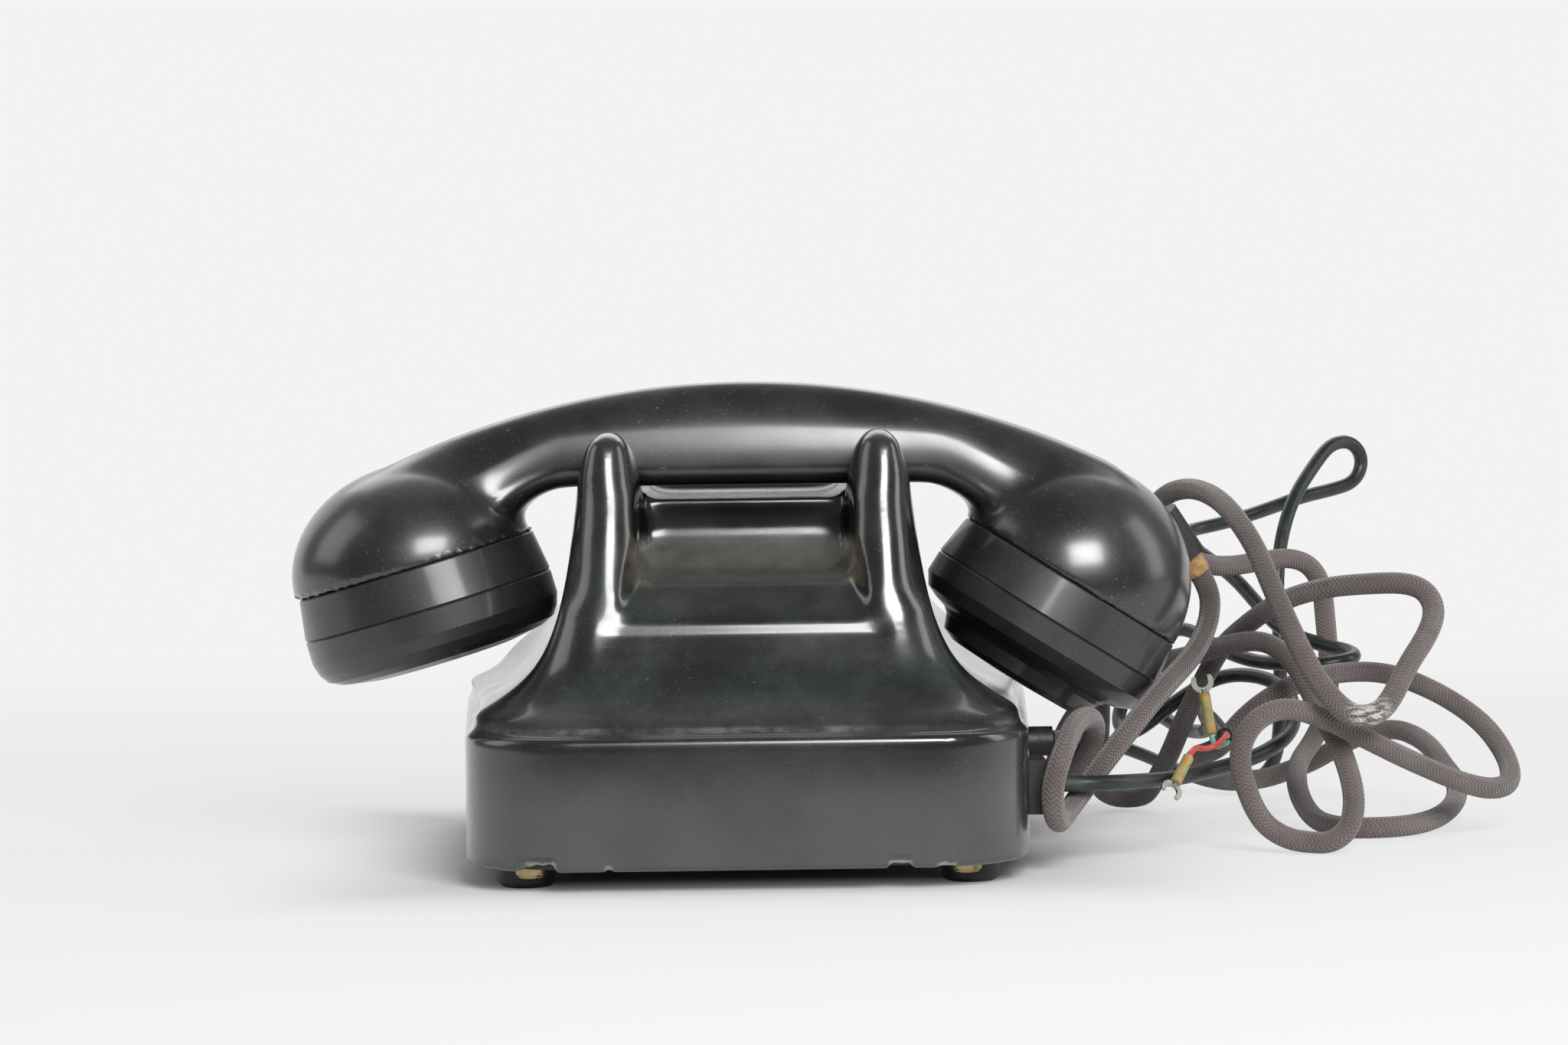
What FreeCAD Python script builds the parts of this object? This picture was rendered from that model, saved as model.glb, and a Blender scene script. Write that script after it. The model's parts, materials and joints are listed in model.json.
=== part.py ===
import FreeCAD
import Part
import math
import os

V = FreeCAD.Vector

# A desk telephone of moulded bakelite, in millimetres.
# The origin is on the table under the middle of the body, the dial faces -Y, +Z is up.

# Body: a skirt with a flared upper part on it
skirt_bottom = 5.8
skirt_top = 39.0
skirt_depth = 180.0
skirt_rear_half = 69.7
skirt_front_half = 81.7
skirt_corner_radius = 27.0
skirt_edge_radius = 2.2
skirt_ledge = 2.8
wall = 3.0
side_thinning = 0.8
neck_top = 100.0
neck_half = 43.4
neck_rear = 47.0
neck_corner_radius = 8.0
face_ledge = 2.0
face_offset = skirt_top + skirt_depth / 2 - face_ledge
saddle_middle = 96.0
roof = 3.6
boss_radius = 5.0
boss_bite = 0.25
boss_top = skirt_top - 2.5

# Dial
dial_height = 71.5
dial_radius = 37.0
dial_bezel_width = 1.8
dial_bezel_height = 2.0
dial_seat_depth = 1.0
dial_seat_width = 2.4
dial_fit = 0.2
dial_plate_thickness = 2.0
number_plate_thickness = 0.8
number_plate_inner = 12.0
number_plate_radius = 34.2
wheel_radius = 34.0
wheel_thickness = 1.8
wheel_gap = 1.6
finger_hole_radius = 6.0
finger_pitch_radius = 26.4
finger_holes = 10
finger_step = 30.0
first_finger_angle = 22.0
stop_angle = -38.0
stop_thickness = 1.2
stop_gap = 0.8
centre_cap_radius = 12.5
centre_cap_height = 2.2
shaft_radius = 3.0
running_clearance = 0.05
bridge_depth = 21.0
bridge_radius = 31.0
back_bridge_thickness = 1.5
pillar_radius = 2.0
pillar_pitch = 28.0
gear_teeth = 48
pinion_teeth = 12
gear_module = 0.7
gear_depth = 8.5
gear_thickness = 1.5
gear_backlash = 0.25
cam_radius = 10.0
cam_depth = 12.5
spring_depth = 18.5
spring_height = 4.0
spring_turns = 5
spring_strip = 0.6
spring_outer = 11.0
spindle_radius = 1.2
drum_radius = 8.0
drum_depth = 18.0
drum_height = 7.0

# Handset
handset_y = 14.0
grip_bottom = 99.3
grip_top = 126.5
grip_half = 12.6
grip_arc_radius = 220.0
grip_lean = 0.84
head_radius = 32.3
head_wall = 3.0
receiver_reach = 44.0
receiver_x = neck_half + receiver_reach
receiver_z = 78.8
receiver_tilt = 16.0
receiver_dome = 27.0
transmitter_reach = 43.2
transmitter_x = -neck_half - transmitter_reach
transmitter_z = 72.2
transmitter_tilt = -32.4
transmitter_dome = 32.3
ring_height = 11.1
ring_growth = 1.5
ring_wall = 2.1
seam_chamfer = 0.4
cap_wall = 3.5
cap_depth = 15.0
mouthpiece_depth = 19.0
mouthpiece_radius = 22.0
capsule_fit = 1.0
sound_hole_radius = 2.0
speech_hole_radius = 1.3
contact_disc_thickness = 2.0
contact_pin_radius = 1.5
wire_bore_radius = 3.0
wire_bore_z = 110.0
saddle_clearance = 0.3

# Prongs of the cradle
prong_half = 8.2
prong_setback = 0.3
prong_x = neck_half - prong_half - prong_setback
prong_depth_half = 9.8
prong_top = 113.8
recess_trim = 0.3
recess_half = prong_x - prong_half + recess_trim
recess_edge_y = neck_rear + 5.0
recess_edge_z = 75.0
recess_lip_y = neck_rear + 17.0
recess_lip_z = 66.0
recess_lip_half = recess_half + 6.2
recess_radius = 22.0

# Hook switch
hook_travel = 4.0
plunger_radius = 2.4
plunger_clearance = 0.2
bridge_z = 80.0
bridge_thickness = 2.5
guide_x = 18.0
guide_radius = 3.0

# Base plate, feet and screws
plate_z = 6.2
plate_thickness = 1.2
plate_clearance = 0.5
foot_radius = 7.2
foot_inset = 11.7
foot_rear_angle = 19.0
foot_front_angle = -15.0
screw_rear_angle = 59.0
screw_front_angle = -57.0
screw_radius = 1.9
screw_head_radius = 3.8
screw_head_height = 2.6

# Ringer
gong_radius = 24.0
gong_x = 30.5
gong_y = 46.0
gong_bottom = 20.0
gong_top = 34.0
gong_wall = 1.3
clapper_radius = 3.0
ringer_pivot_y = 18.2
ringer_z = 23.0
coil_x = 11.0

# Cords and their outlets
cord_diameter = 5.8
line_cord_diameter = 4.1
outlet_y = 54.0
outlet_z = 22.3
outlet_width = 15.4
outlet_height = 13.8
outlet_out = 4.6
sleeve_y = 24.0
sleeve_z = 30.5
sleeve_radius = 3.9
sleeve_out = 6.5

RIGHT = V(1, 0, 0)
BACK = V(0, 1, 0)
UP = V(0, 0, 1)
ORIGIN = V(0, 0, 0)


# General helpers
def cylinder(radius, start, end):
    axis = end.sub(start)
    return Part.makeCylinder(radius, axis.Length, start, axis)


def tube(outer, inner, start, end):
    return cylinder(outer, start, end).cut(cylinder(inner, start, end))


def box(x0, x1, y0, y1, z0, z1):
    return Part.makeBox(x1 - x0, y1 - y0, z1 - z0, V(x0, y0, z0))


def fused(shapes):
    solid = shapes[0].fuse(shapes[1:]) if len(shapes) > 1 else shapes[0]
    return solid.removeSplitter()


def mirrored(shape):
    return shape.mirror(ORIGIN, RIGHT)


def save(name, *shapes):
    shape = shapes[0] if len(shapes) == 1 else Part.makeCompound(list(shapes))
    if shape.ShapeType != "Solid" and len(shape.Solids) == 1:
        shape = shape.Solids[0]
    shape.exportStep(f"parts/{name}.step")
    print(f"{name}: {len(shape.Solids)} solids, {shape.Volume:.0f} mm3, valid {shape.isValid()}")
    return shape


def rounded_polygon(corners, z, bends=None):
    # corners are (x, y, radius), and bends gives the middle point of each side that is curved
    count = len(corners)
    ends = []
    for i, (x, y, radius) in enumerate(corners):
        point = V(x, y, z)
        before = V(corners[i - 1][0], corners[i - 1][1], z).sub(point).normalize()
        following = corners[(i + 1) % count]
        after = V(following[0], following[1], z).sub(point).normalize()
        half = before.getAngle(after) / 2
        reach = radius / math.tan(half)
        inward = before.add(after).normalize()
        middle = point.add(inward.multiply(radius / math.sin(half) - radius))
        ends.append((point.add(before.multiply(reach)), middle, point.add(after.multiply(reach))))
    edges = []
    for i in range(count):
        start, middle, end = ends[i]
        following = ends[(i + 1) % count][0]
        edges.append(Part.Arc(start, middle, end).toShape())
        if bends and i in bends:
            curve = Part.BSplineCurve()
            curve.interpolate([end, V(bends[i][0], bends[i][1], z), following])
            edges.append(curve.toShape())
        else:
            edges.append(Part.LineSegment(end, following).toShape())
    return Part.Wire(edges)


def polygon_face(points):
    return Part.Face(Part.makePolygon(points + [points[0]]))


def turned(profile):
    # profile is a list of (radius, height) corners, turned round the Z axis
    face = polygon_face([V(r, 0, h) for r, h in profile])
    return face.revolve(ORIGIN, UP, 360)


def half_ellipsoid(radius, height):
    ball = Part.makeSphere(radius, ORIGIN, UP, 0, 90)
    stretch = FreeCAD.Matrix()
    stretch.scale(1, 1, height / radius)
    return ball.transformGeometry(stretch)


def on_circle(radius, angle, height):
    return V(radius * math.cos(math.radians(angle)), radius * math.sin(math.radians(angle)), height)


def ring_of_holes(solid, radius, spots, z0, z1):
    # spots are (pitch radius, angle) places of holes along Z
    for pitch, angle in spots:
        solid = solid.cut(cylinder(radius, on_circle(pitch, angle, z0), on_circle(pitch, angle, z1)))
    return solid


def spur_gear(teeth, module, thickness, z, bore, turn):
    # straight-sided teeth with room between them, turned by an angle in degrees
    points = []
    root = module * (teeth / 2 - 1.1)
    tip = module * (teeth / 2 + 0.8)
    step = 360 / teeth
    for i in range(teeth):
        centre = turn + i * step
        points.append(on_circle(root, centre - 0.30 * step, z))
        points.append(on_circle(tip, centre - 0.12 * step, z))
        points.append(on_circle(tip, centre + 0.12 * step, z))
        points.append(on_circle(root, centre + 0.30 * step, z))
    gear = polygon_face(points).extrude(V(0, 0, thickness))
    return gear.cut(cylinder(bore, V(0, 0, z - 1), V(0, 0, z + thickness + 1)))


# Body
def side_half(y, inset):
    # the skirt widens evenly from the rear to the front
    share = (skirt_depth / 2 - y) / skirt_depth
    return skirt_rear_half + (skirt_front_half - skirt_rear_half) * share - inset


def corner_spots(reach, angles):
    # places at a distance and an angle from the centres of the skirt's corner rounds
    spots = []
    taper = math.atan((skirt_front_half - skirt_rear_half) / skirt_depth)
    for side in (1, -1):
        for angle in angles:
            end = math.copysign(skirt_depth / 2 - skirt_corner_radius, angle)
            x = side_half(end, skirt_corner_radius / math.cos(taper))
            turn = math.radians(angle)
            spots.append((side * (x + reach * math.cos(turn)), end + reach * math.sin(turn)))
    return spots


def skirt_wire(z, inset):
    end = skirt_depth / 2 - inset
    radius = skirt_corner_radius - inset
    rear = side_half(end, inset)
    front = side_half(-end, inset)
    corners = [(rear, end), (-rear, end), (-front, -end), (front, -end)]
    return rounded_polygon([(x, y, radius) for x, y in corners], z)


def skirt_solid(z0, z1, inset):
    return Part.Face(skirt_wire(z0, inset)).extrude(V(0, 0, z1 - z0))


# Stations of the flare at even heights from the ledge to the neck: how much of the spread
# between neck and skirt is left at the rear ridges, the waist, the front ridges and the back
FLARE = [
    (1.00, 0.96, 1.00, 1.00),
    (0.88, 0.79, 0.90, 0.78),
    (0.52, 0.48, 0.72, 0.615),
    (0.33, 0.31, 0.51, 0.52),
    (0.23, 0.21, 0.30, 0.455),
    (0.16, 0.15, 0.18, 0.395),
    (0.115, 0.105, 0.115, 0.33),
    (0.075, 0.065, 0.075, 0.255),
    (0.045, 0.035, 0.045, 0.175),
    (0.02, 0.005, 0.02, 0.09),
    (0.00, -0.02, 0.00, 0.00),
]


def flare_wire(level, shell):
    # shell is 0 for the outside, or the wall thickness for the inside
    rear, waist, front, back = FLARE[level]
    height = level / (len(FLARE) - 1)
    z = skirt_top + height * (neck_top - skirt_top) - shell
    inset = side_thinning * shell
    end = skirt_depth / 2 - skirt_ledge
    rear_half = neck_half + (side_half(end, skirt_ledge) - neck_half) * rear - inset
    waist_half = neck_half + (side_half(0, skirt_ledge) - neck_half) * waist - inset
    front_half = neck_half + (side_half(-end, skirt_ledge) - neck_half) * front - inset
    y_rear = neck_rear + (end - neck_rear) * back - inset
    y_front = z - face_offset + math.sqrt(2) * shell
    spread = skirt_corner_radius - skirt_ledge - neck_corner_radius
    radius = max(neck_corner_radius + spread * rear - inset, 2.0)
    front_radius = max(neck_corner_radius + spread * front - inset, 2.0)
    waist_y = (y_rear - radius + y_front + front_radius) / 2
    corners = [
        (rear_half, y_rear, radius),
        (-rear_half, y_rear, radius),
        (-front_half, y_front, front_radius),
        (front_half, y_front, front_radius),
    ]
    return rounded_polygon(corners, z, {1: (-waist_half, waist_y), 3: (waist_half, waist_y)})


def flare_solid(shell):
    return Part.makeLoft([flare_wire(i, shell) for i in range(len(FLARE))], True, False)


def in_dial(shape):
    # from the dial's own frame, where Z leaves the dial's face, to the telephone's frame
    placed = shape.copy()
    placed.rotate(ORIGIN, RIGHT, 45)
    placed.translate(V(0, dial_height - face_offset, dial_height))
    return placed


def skirt():
    solid = skirt_solid(skirt_bottom, skirt_top, 0)
    rim = [edge for edge in solid.Edges if edge.BoundBox.ZMin > skirt_top - 0.01]
    return solid.makeFillet(skirt_edge_radius, rim)


def prong_wire(z, share):
    y = neck_rear - prong_setback - prong_depth_half
    half = prong_half * share
    depth = prong_depth_half * share
    radius = 0.72 * half
    corners = [(half, depth), (-half, depth), (-half, -depth), (half, -depth)]
    return rounded_polygon([(prong_x + x, y + v, radius) for x, v in corners], z)


def prongs():
    # each prong ends in an elliptic top, and the front pair mirrors the rear pair about the grip
    levels = 6
    start = neck_top - 2.6
    wires = []
    for i in range(levels):
        rise = i / (levels - 1)
        share = math.sqrt(max(1 - (0.985 * rise) ** 2, 0))
        wires.append(prong_wire(start + (prong_top - start) * rise, share))
    top = Part.makeLoft(wires, True, False)
    column = Part.Face(prong_wire(cavity_top - 4, 1)).extrude(V(0, 0, start - cavity_top + 4))
    rear = fused([top, column])
    front = rear.mirror(V(0, handset_y, 0), BACK)
    return [rear, front, mirrored(rear), mirrored(front)]


def recess_cutter(growth):
    # the scoop between the rear prongs, widening at its lip, grown by a wall for its liner
    y, z = recess_edge_y - growth, recess_edge_z - growth
    r = recess_radius
    slope = (recess_lip_z - recess_edge_z) / (recess_lip_y - recess_edge_y)
    out_y = recess_lip_y + 14
    edge = V(0, y, z)
    middle = V(0, y - r * math.sin(math.pi / 4), z + r - r * math.cos(math.pi / 4))
    top = V(0, y - r, z + r)
    far_top = V(0, y - r, prong_top + 10)
    far_out = V(0, out_y, prong_top + 10)
    low_out = V(0, out_y, z + slope * (out_y - y))
    lines = [(top, far_top), (far_top, far_out), (far_out, low_out), (low_out, edge)]
    outline = [Part.Arc(edge, middle, top).toShape()]
    outline += [Part.LineSegment(a, b).toShape() for a, b in lines]
    reach = recess_lip_half + 20
    profile = Part.Face(Part.Wire(outline)).extrude(V(2 * reach, 0, 0))
    profile.translate(V(-reach, 0, 0))
    half = recess_half + growth
    lip_half = recess_lip_half + growth
    flare_rate = (recess_lip_half - recess_half) / (recess_lip_y - recess_edge_y)
    far_half = lip_half + flare_rate * (out_y - recess_lip_y)
    plan = [(half, y - r - 1), (half, recess_edge_y), (lip_half, recess_lip_y), (far_half, out_y)]
    points = [V(x, v, 0) for x, v in plan] + [V(-x, v, 0) for x, v in reversed(plan)]
    return profile.common(polygon_face(points).extrude(V(0, 0, prong_top + 20)))


def grip_wire(x, z0, z1, half, high_half, low_radius, high_radius):
    # a rounded four-sided section across the handset's grip at the station x
    corners = [(high_half, z1, high_radius), (-high_half, z1, high_radius)]
    corners += [(-half, z0, low_radius), (half, z0, low_radius)]
    wire = rounded_polygon(corners, x)
    wire.rotate(ORIGIN, V(1, 1, 1), 120)
    wire.translate(V(0, handset_y, 0))
    return wire


# Housing
saddle_z = grip_bottom - saddle_clearance
cavity_top = saddle_middle - roof
plate_top = plate_z + plate_thickness
boss_reach = skirt_corner_radius - wall - boss_radius + boss_bite
foot_reach = skirt_corner_radius - wall - foot_inset
boss_spots = corner_spots(boss_reach, (screw_rear_angle, screw_front_angle))
foot_spots = corner_spots(foot_reach, (foot_rear_angle, foot_front_angle))
grip_edge_radius = 6.0
plate_radius = dial_radius - dial_fit
opening_radius = dial_radius - dial_seat_width
ring_top_depth = wall + dial_fit

cavity = fused([skirt_solid(skirt_bottom - 1, skirt_top - wall, wall), flare_solid(wall)])
cavity = cavity.common(box(-200, 200, -200, 200, 0, cavity_top))
cavity = cavity.cut(recess_cutter(wall))
bezel = in_dial(tube(dial_radius + dial_bezel_width, dial_radius, ORIGIN, V(0, 0, dial_bezel_height)))
housing = fused([skirt(), flare_solid(0)] + prongs())
housing = housing.fuse(bezel)
housing = housing.cut(cavity)
bosses = [cylinder(boss_radius, V(x, y, plate_top), V(x, y, boss_top)) for x, y in boss_spots]
housing = fused([housing] + bosses)
saddle_half = grip_half + saddle_clearance
saddle = Part.Face(
    grip_wire(-neck_half - 5, saddle_z, prong_top + 5, saddle_half, saddle_half, grip_edge_radius, 2.0)
)
low_middle = box(-recess_half, recess_half, handset_y - (neck_rear - handset_y), neck_rear + 1, saddle_middle, 150)
dial_pocket = cylinder(dial_radius + 1, V(0, 0, -wall), V(0, 0, -bridge_depth - 3))
dial_opening = cylinder(opening_radius, V(0, 0, -wall - 1), V(0, 0, 5))
dial_seat = cylinder(dial_radius, V(0, 0, -dial_seat_depth), V(0, 0, 5))
window_half = outlet_width / 2 + dial_fit
window_rise = outlet_height / 2 + dial_fit
window = box(
    -skirt_front_half - 5, -skirt_rear_half + 2 * wall,
    outlet_y - window_half, outlet_y + window_half,
    outlet_z - window_rise, outlet_z + window_rise,
)
sleeve_start = V(-skirt_rear_half + 2 * wall, sleeve_y, sleeve_z)
sleeve_end = V(-side_half(sleeve_y, 0) - sleeve_out, sleeve_y, sleeve_z)
sleeve_hole = cylinder(sleeve_radius + dial_fit, sleeve_start.add(RIGHT), V(-skirt_front_half - 5, sleeve_y, sleeve_z))
bores = [
    cylinder(plunger_radius + plunger_clearance, V(x, handset_y, cavity_top - 1), V(x, handset_y, neck_top + 5))
    for x in (prong_x, -prong_x)
]
pilots = [
    cylinder(screw_radius + running_clearance, V(x, y, plate_top - 1), V(x, y, boss_top - 12))
    for x, y in boss_spots
]
cutters = [recess_cutter(0), saddle.extrude(V(2 * neck_half + 10, 0, 0)), low_middle]
cutters += [in_dial(shape) for shape in (dial_pocket, dial_opening, dial_seat)]
housing = housing.cut(cutters + [window, sleeve_hole] + bores + pilots).removeSplitter()

os.makedirs("parts", exist_ok=True)
save("housing", housing)

# Base plate with its screws and rubber feet
inset = wall + plate_clearance
base_plate = skirt_solid(plate_z, plate_top, inset)
for x, y in boss_spots:
    base_plate = base_plate.cut(cylinder(screw_radius + plate_clearance, V(x, y, 0), V(x, y, 20)))
foot_neck = foot_radius - 3.3
for x, y in foot_spots:
    base_plate = base_plate.cut(cylinder(foot_neck + 0.1, V(x, y, 0), V(x, y, 20)))
save("base_plate", base_plate)

slot = box(-0.5, 0.5, -screw_head_radius, screw_head_radius, 0, 0.9)
base_screw = turned([
    (0, 0), (screw_head_radius - 0.8, 0), (screw_head_radius, 0.9), (screw_head_radius, screw_head_height),
    (screw_radius, screw_head_height), (screw_radius, boss_top - 14 - plate_z), (0, boss_top - 14 - plate_z),
]).cut(slot)
screws = []
for i, (x, y) in enumerate(boss_spots):
    screw = base_screw.copy()
    screw.rotate(ORIGIN, UP, 35 + 50 * i)
    screw.translate(V(x, y, plate_z - screw_head_height))
    screws.append(screw)
save("base_screws", *screws)

foot = turned([
    (0, 0), (foot_radius - 1, 0), (foot_radius, 1), (foot_radius, plate_z),
    (foot_neck, plate_z), (foot_neck, plate_top), (foot_neck + 1.1, plate_top),
    (foot_neck + 0.6, plate_top + 1.6), (0, plate_top + 1.6),
])
feet = []
for x, y in foot_spots:
    piece = foot.copy()
    piece.translate(V(x, y, 0))
    feet.append(piece)
save("rubber_feet", *feet)

# Cord outlets
skirt_x = -side_half(outlet_y, 0)
block = box(
    skirt_x - outlet_out, skirt_x + wall + 3,
    outlet_y - outlet_width / 2, outlet_y + outlet_width / 2,
    outlet_z - outlet_height / 2, outlet_z + outlet_height / 2,
)
block_edges = [edge for edge in block.Edges if edge.BoundBox.XMax < skirt_x]
block = block.makeFillet(1.2, block_edges)
flange = box(
    skirt_x + wall + 1.2, skirt_x + wall + 3,
    outlet_y - outlet_width / 2 - 2.5, outlet_y + outlet_width / 2 + 2.5,
    plate_top, outlet_z + outlet_height / 2 + 2.5,
)
save("cord_outlet_block", fused([block, flange]))
sleeve = cylinder(sleeve_radius, sleeve_start, sleeve_end)
grommet = cylinder(sleeve_radius + 2, sleeve_start, sleeve_start.add(V(-wall, 0, 0)))
save("cord_sleeve", fused([sleeve, grommet]))

# Hook switch
bracket_z = 72.5
bracket_thickness = 1.5
bracket_top = bracket_z + bracket_thickness
plungers = [
    cylinder(plunger_radius, V(x, handset_y, bridge_z + bridge_thickness), V(x, handset_y, saddle_z))
    for x in (-prong_x, prong_x)
]
save("hook_plungers", *plungers)
bridge = box(
    -prong_x - plunger_radius, prong_x + plunger_radius,
    handset_y - guide_radius - 2, handset_y + guide_radius + 2,
    bridge_z, bridge_z + bridge_thickness,
)
bracket = box(-guide_x - 6, guide_x + 6, handset_y - 8, handset_y + 8, bracket_z, bracket_top)
springs = []
for x in (-guide_x, guide_x):
    bridge = bridge.cut(
        cylinder(guide_radius + running_clearance, V(x, handset_y, 0), V(x, handset_y, 150))
    )
    bracket = bracket.fuse(cylinder(guide_radius, V(x, handset_y, bracket_z), V(x, handset_y, cavity_top)))
    spring_start = V(x, handset_y, bracket_top)
    spring_end = V(x, handset_y, bridge_z - 0.3)
    springs.append(tube(guide_radius + 1.4, guide_radius + 0.3, spring_start, spring_end))
save("hook_bridge", bridge)
save("hook_bracket", bracket.removeSplitter())
save("hook_springs", *springs)
leaf_half = 8.0
leaves = [box(-leaf_half, -3, handset_y - 5, handset_y + 5, bracket_top, bridge_z - 1)]
for i in range(3):
    z = bracket_top + 0.8 + 1.4 * i
    leaves.append(box(-leaf_half, leaf_half, handset_y - 2, handset_y + 2, z, z + 0.4))
save("hook_contacts", fused(leaves))

# Dial, built in its own frame
plate_height = dial_plate_thickness - dial_seat_depth
number_height = plate_height + number_plate_thickness
wheel_bottom = number_height + wheel_gap
wheel_top = wheel_bottom + wheel_thickness
hole_spots = [(finger_pitch_radius, first_finger_angle + i * finger_step) for i in range(finger_holes)]

dial_plate = cylinder(plate_radius, V(0, 0, -dial_seat_depth), V(0, 0, plate_height))
dial_plate = dial_plate.cut(cylinder(shaft_radius + running_clearance, V(0, 0, -5), V(0, 0, 5)))
screw_pitch = opening_radius - 1.5
clamp_screw_radius = 1.0
clamp_spots = [(screw_pitch, angle) for angle in (30, 150, 270)]
dial_plate = ring_of_holes(dial_plate, clamp_screw_radius + running_clearance, clamp_spots, -5, 0)
save("dial_plate", in_dial(dial_plate))
number_plate = tube(number_plate_radius, number_plate_inner, V(0, 0, plate_height), V(0, 0, number_height))
save("dial_number_plate", in_dial(number_plate))

finger_wheel = cylinder(wheel_radius, V(0, 0, wheel_bottom), V(0, 0, wheel_top))
rim = [edge for edge in finger_wheel.Edges if edge.BoundBox.ZMin > wheel_top - 0.01]
finger_wheel = finger_wheel.makeFillet(0.8, rim)
finger_wheel = ring_of_holes(finger_wheel, finger_hole_radius, hole_spots, 0, 20)
finger_wheel = finger_wheel.cut(cylinder(shaft_radius, V(0, 0, 0), V(0, 0, 20)))
save("dial_finger_wheel", in_dial(finger_wheel))
cap_top = wheel_top + centre_cap_height
centre_cap = cylinder(centre_cap_radius, V(0, 0, wheel_top), V(0, 0, cap_top))
rim = [edge for edge in centre_cap.Edges if edge.BoundBox.ZMin > cap_top - 0.01]
save("dial_centre_cap", in_dial(centre_cap.makeFillet(1.2, rim)))

stop_z = wheel_top + stop_gap
stop_arm = box(finger_pitch_radius - 3, plate_radius - 0.3, -2.2, 2.2, stop_z, stop_z + stop_thickness)
stop_post = box(wheel_radius + 0.8, plate_radius - 0.3, -2.2, 2.2, plate_height, stop_z + stop_thickness)
stop = fused([stop_arm, stop_post])
stop.rotate(ORIGIN, UP, stop_angle)
save("dial_finger_stop", in_dial(stop))

shaft = fused([
    cylinder(shaft_radius, V(0, 0, -bridge_depth - back_bridge_thickness - 0.5), V(0, 0, wheel_top)),
    cylinder(shaft_radius + 3, V(0, 0, plate_height + 0.2), V(0, 0, wheel_bottom)),
])
save("dial_shaft", in_dial(shaft))
main_gear = spur_gear(gear_teeth, gear_module, gear_thickness, -gear_depth, shaft_radius, 0)
save("dial_main_gear", in_dial(main_gear))
cam = cylinder(cam_radius, V(0, 0, -cam_depth), V(0, 0, -cam_depth + gear_thickness))
for i in range(finger_holes):
    spot = on_circle(cam_radius, 25 + i * 24, 0)
    cam = cam.cut(cylinder(1.4, spot.add(V(0, 0, -cam_depth - 1)), spot.add(V(0, 0, 0))))
cam = cam.cut(cylinder(shaft_radius, V(0, 0, -20), V(0, 0, 0)))
save("dial_cam", in_dial(cam))

# the return spring is a flat spiral strip round the shaft
inner_radius = shaft_radius + 0.7
steps = 24 * spring_turns
outside = []
inside = []
for i in range(steps + 1):
    radius = inner_radius + (spring_outer - inner_radius - spring_strip) * i / steps
    outside.append(on_circle(radius + spring_strip, 360 * spring_turns * i / steps, -spring_depth))
    inside.append(on_circle(radius, 360 * spring_turns * i / steps, -spring_depth))
spiral = polygon_face(outside + inside[::-1]).extrude(V(0, 0, spring_height))
save("dial_return_spring", in_dial(spiral))

bridge_plate = cylinder(bridge_radius, V(0, 0, -bridge_depth - back_bridge_thickness), V(0, 0, -bridge_depth))
bridge_plate = bridge_plate.cut(cylinder(shaft_radius + running_clearance, V(0, 0, -30), V(0, 0, 0)))
governor_pitch = gear_module * (gear_teeth + pinion_teeth) / 2 + gear_backlash
governor_spot = V(-governor_pitch, 0, 0)
bridge_plate = bridge_plate.cut(
    cylinder(spindle_radius + running_clearance, governor_spot.add(V(0, 0, -30)), governor_spot)
)
pillars = [
    cylinder(pillar_radius, on_circle(pillar_pitch, a, -bridge_depth), on_circle(pillar_pitch, a, -dial_seat_depth))
    for a in (90, 210, 330)
]
save("dial_back_bridge", in_dial(fused([bridge_plate] + pillars)))

pinion = spur_gear(pinion_teeth, gear_module, gear_thickness, -gear_depth, 0.5, 180 / pinion_teeth)
governor = fused([
    pinion,
    cylinder(spindle_radius, V(0, 0, -bridge_depth - back_bridge_thickness), V(0, 0, -gear_depth + gear_thickness)),
    cylinder(drum_radius, V(0, 0, -drum_depth), V(0, 0, -drum_depth + drum_height)),
])
governor.translate(governor_spot)
save("dial_governor", in_dial(governor))

contact_block = box(16, 26, -5, 5, -bridge_depth, -bridge_depth + 3)
contact_leaves = [contact_block, box(23, 26, -5, 5, -bridge_depth, -cam_depth + 1)]
for i in range(3):
    z = -cam_depth - 4.5 + 2 * i
    contact_leaves.append(box(13, 26, -2, 2, z, z + 0.4))
save("dial_contacts", in_dial(fused(contact_leaves)))

clamp_top = -ring_top_depth
clamp_thickness = 1.2
clamp_ring = tube(dial_radius + 0.5, opening_radius - 3, V(0, 0, clamp_top - clamp_thickness), V(0, 0, clamp_top))
clamp_ring = ring_of_holes(clamp_ring, clamp_screw_radius + running_clearance, clamp_spots, -10, 0)
save("dial_clamp_ring", in_dial(clamp_ring))
clamp_screws = []
for pitch, angle in clamp_spots:
    screw = fused([
        cylinder(clamp_screw_radius, ORIGIN, V(0, 0, -wall - dial_fit - clamp_thickness)),
        cylinder(clamp_screw_radius + 1, V(0, 0, clamp_top - clamp_thickness), V(0, 0, clamp_top - clamp_thickness - 1)),
    ])
    screw.translate(on_circle(pitch, angle, 0))
    clamp_screws.append(in_dial(screw))
save("dial_clamp_screws", *clamp_screws)

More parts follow.
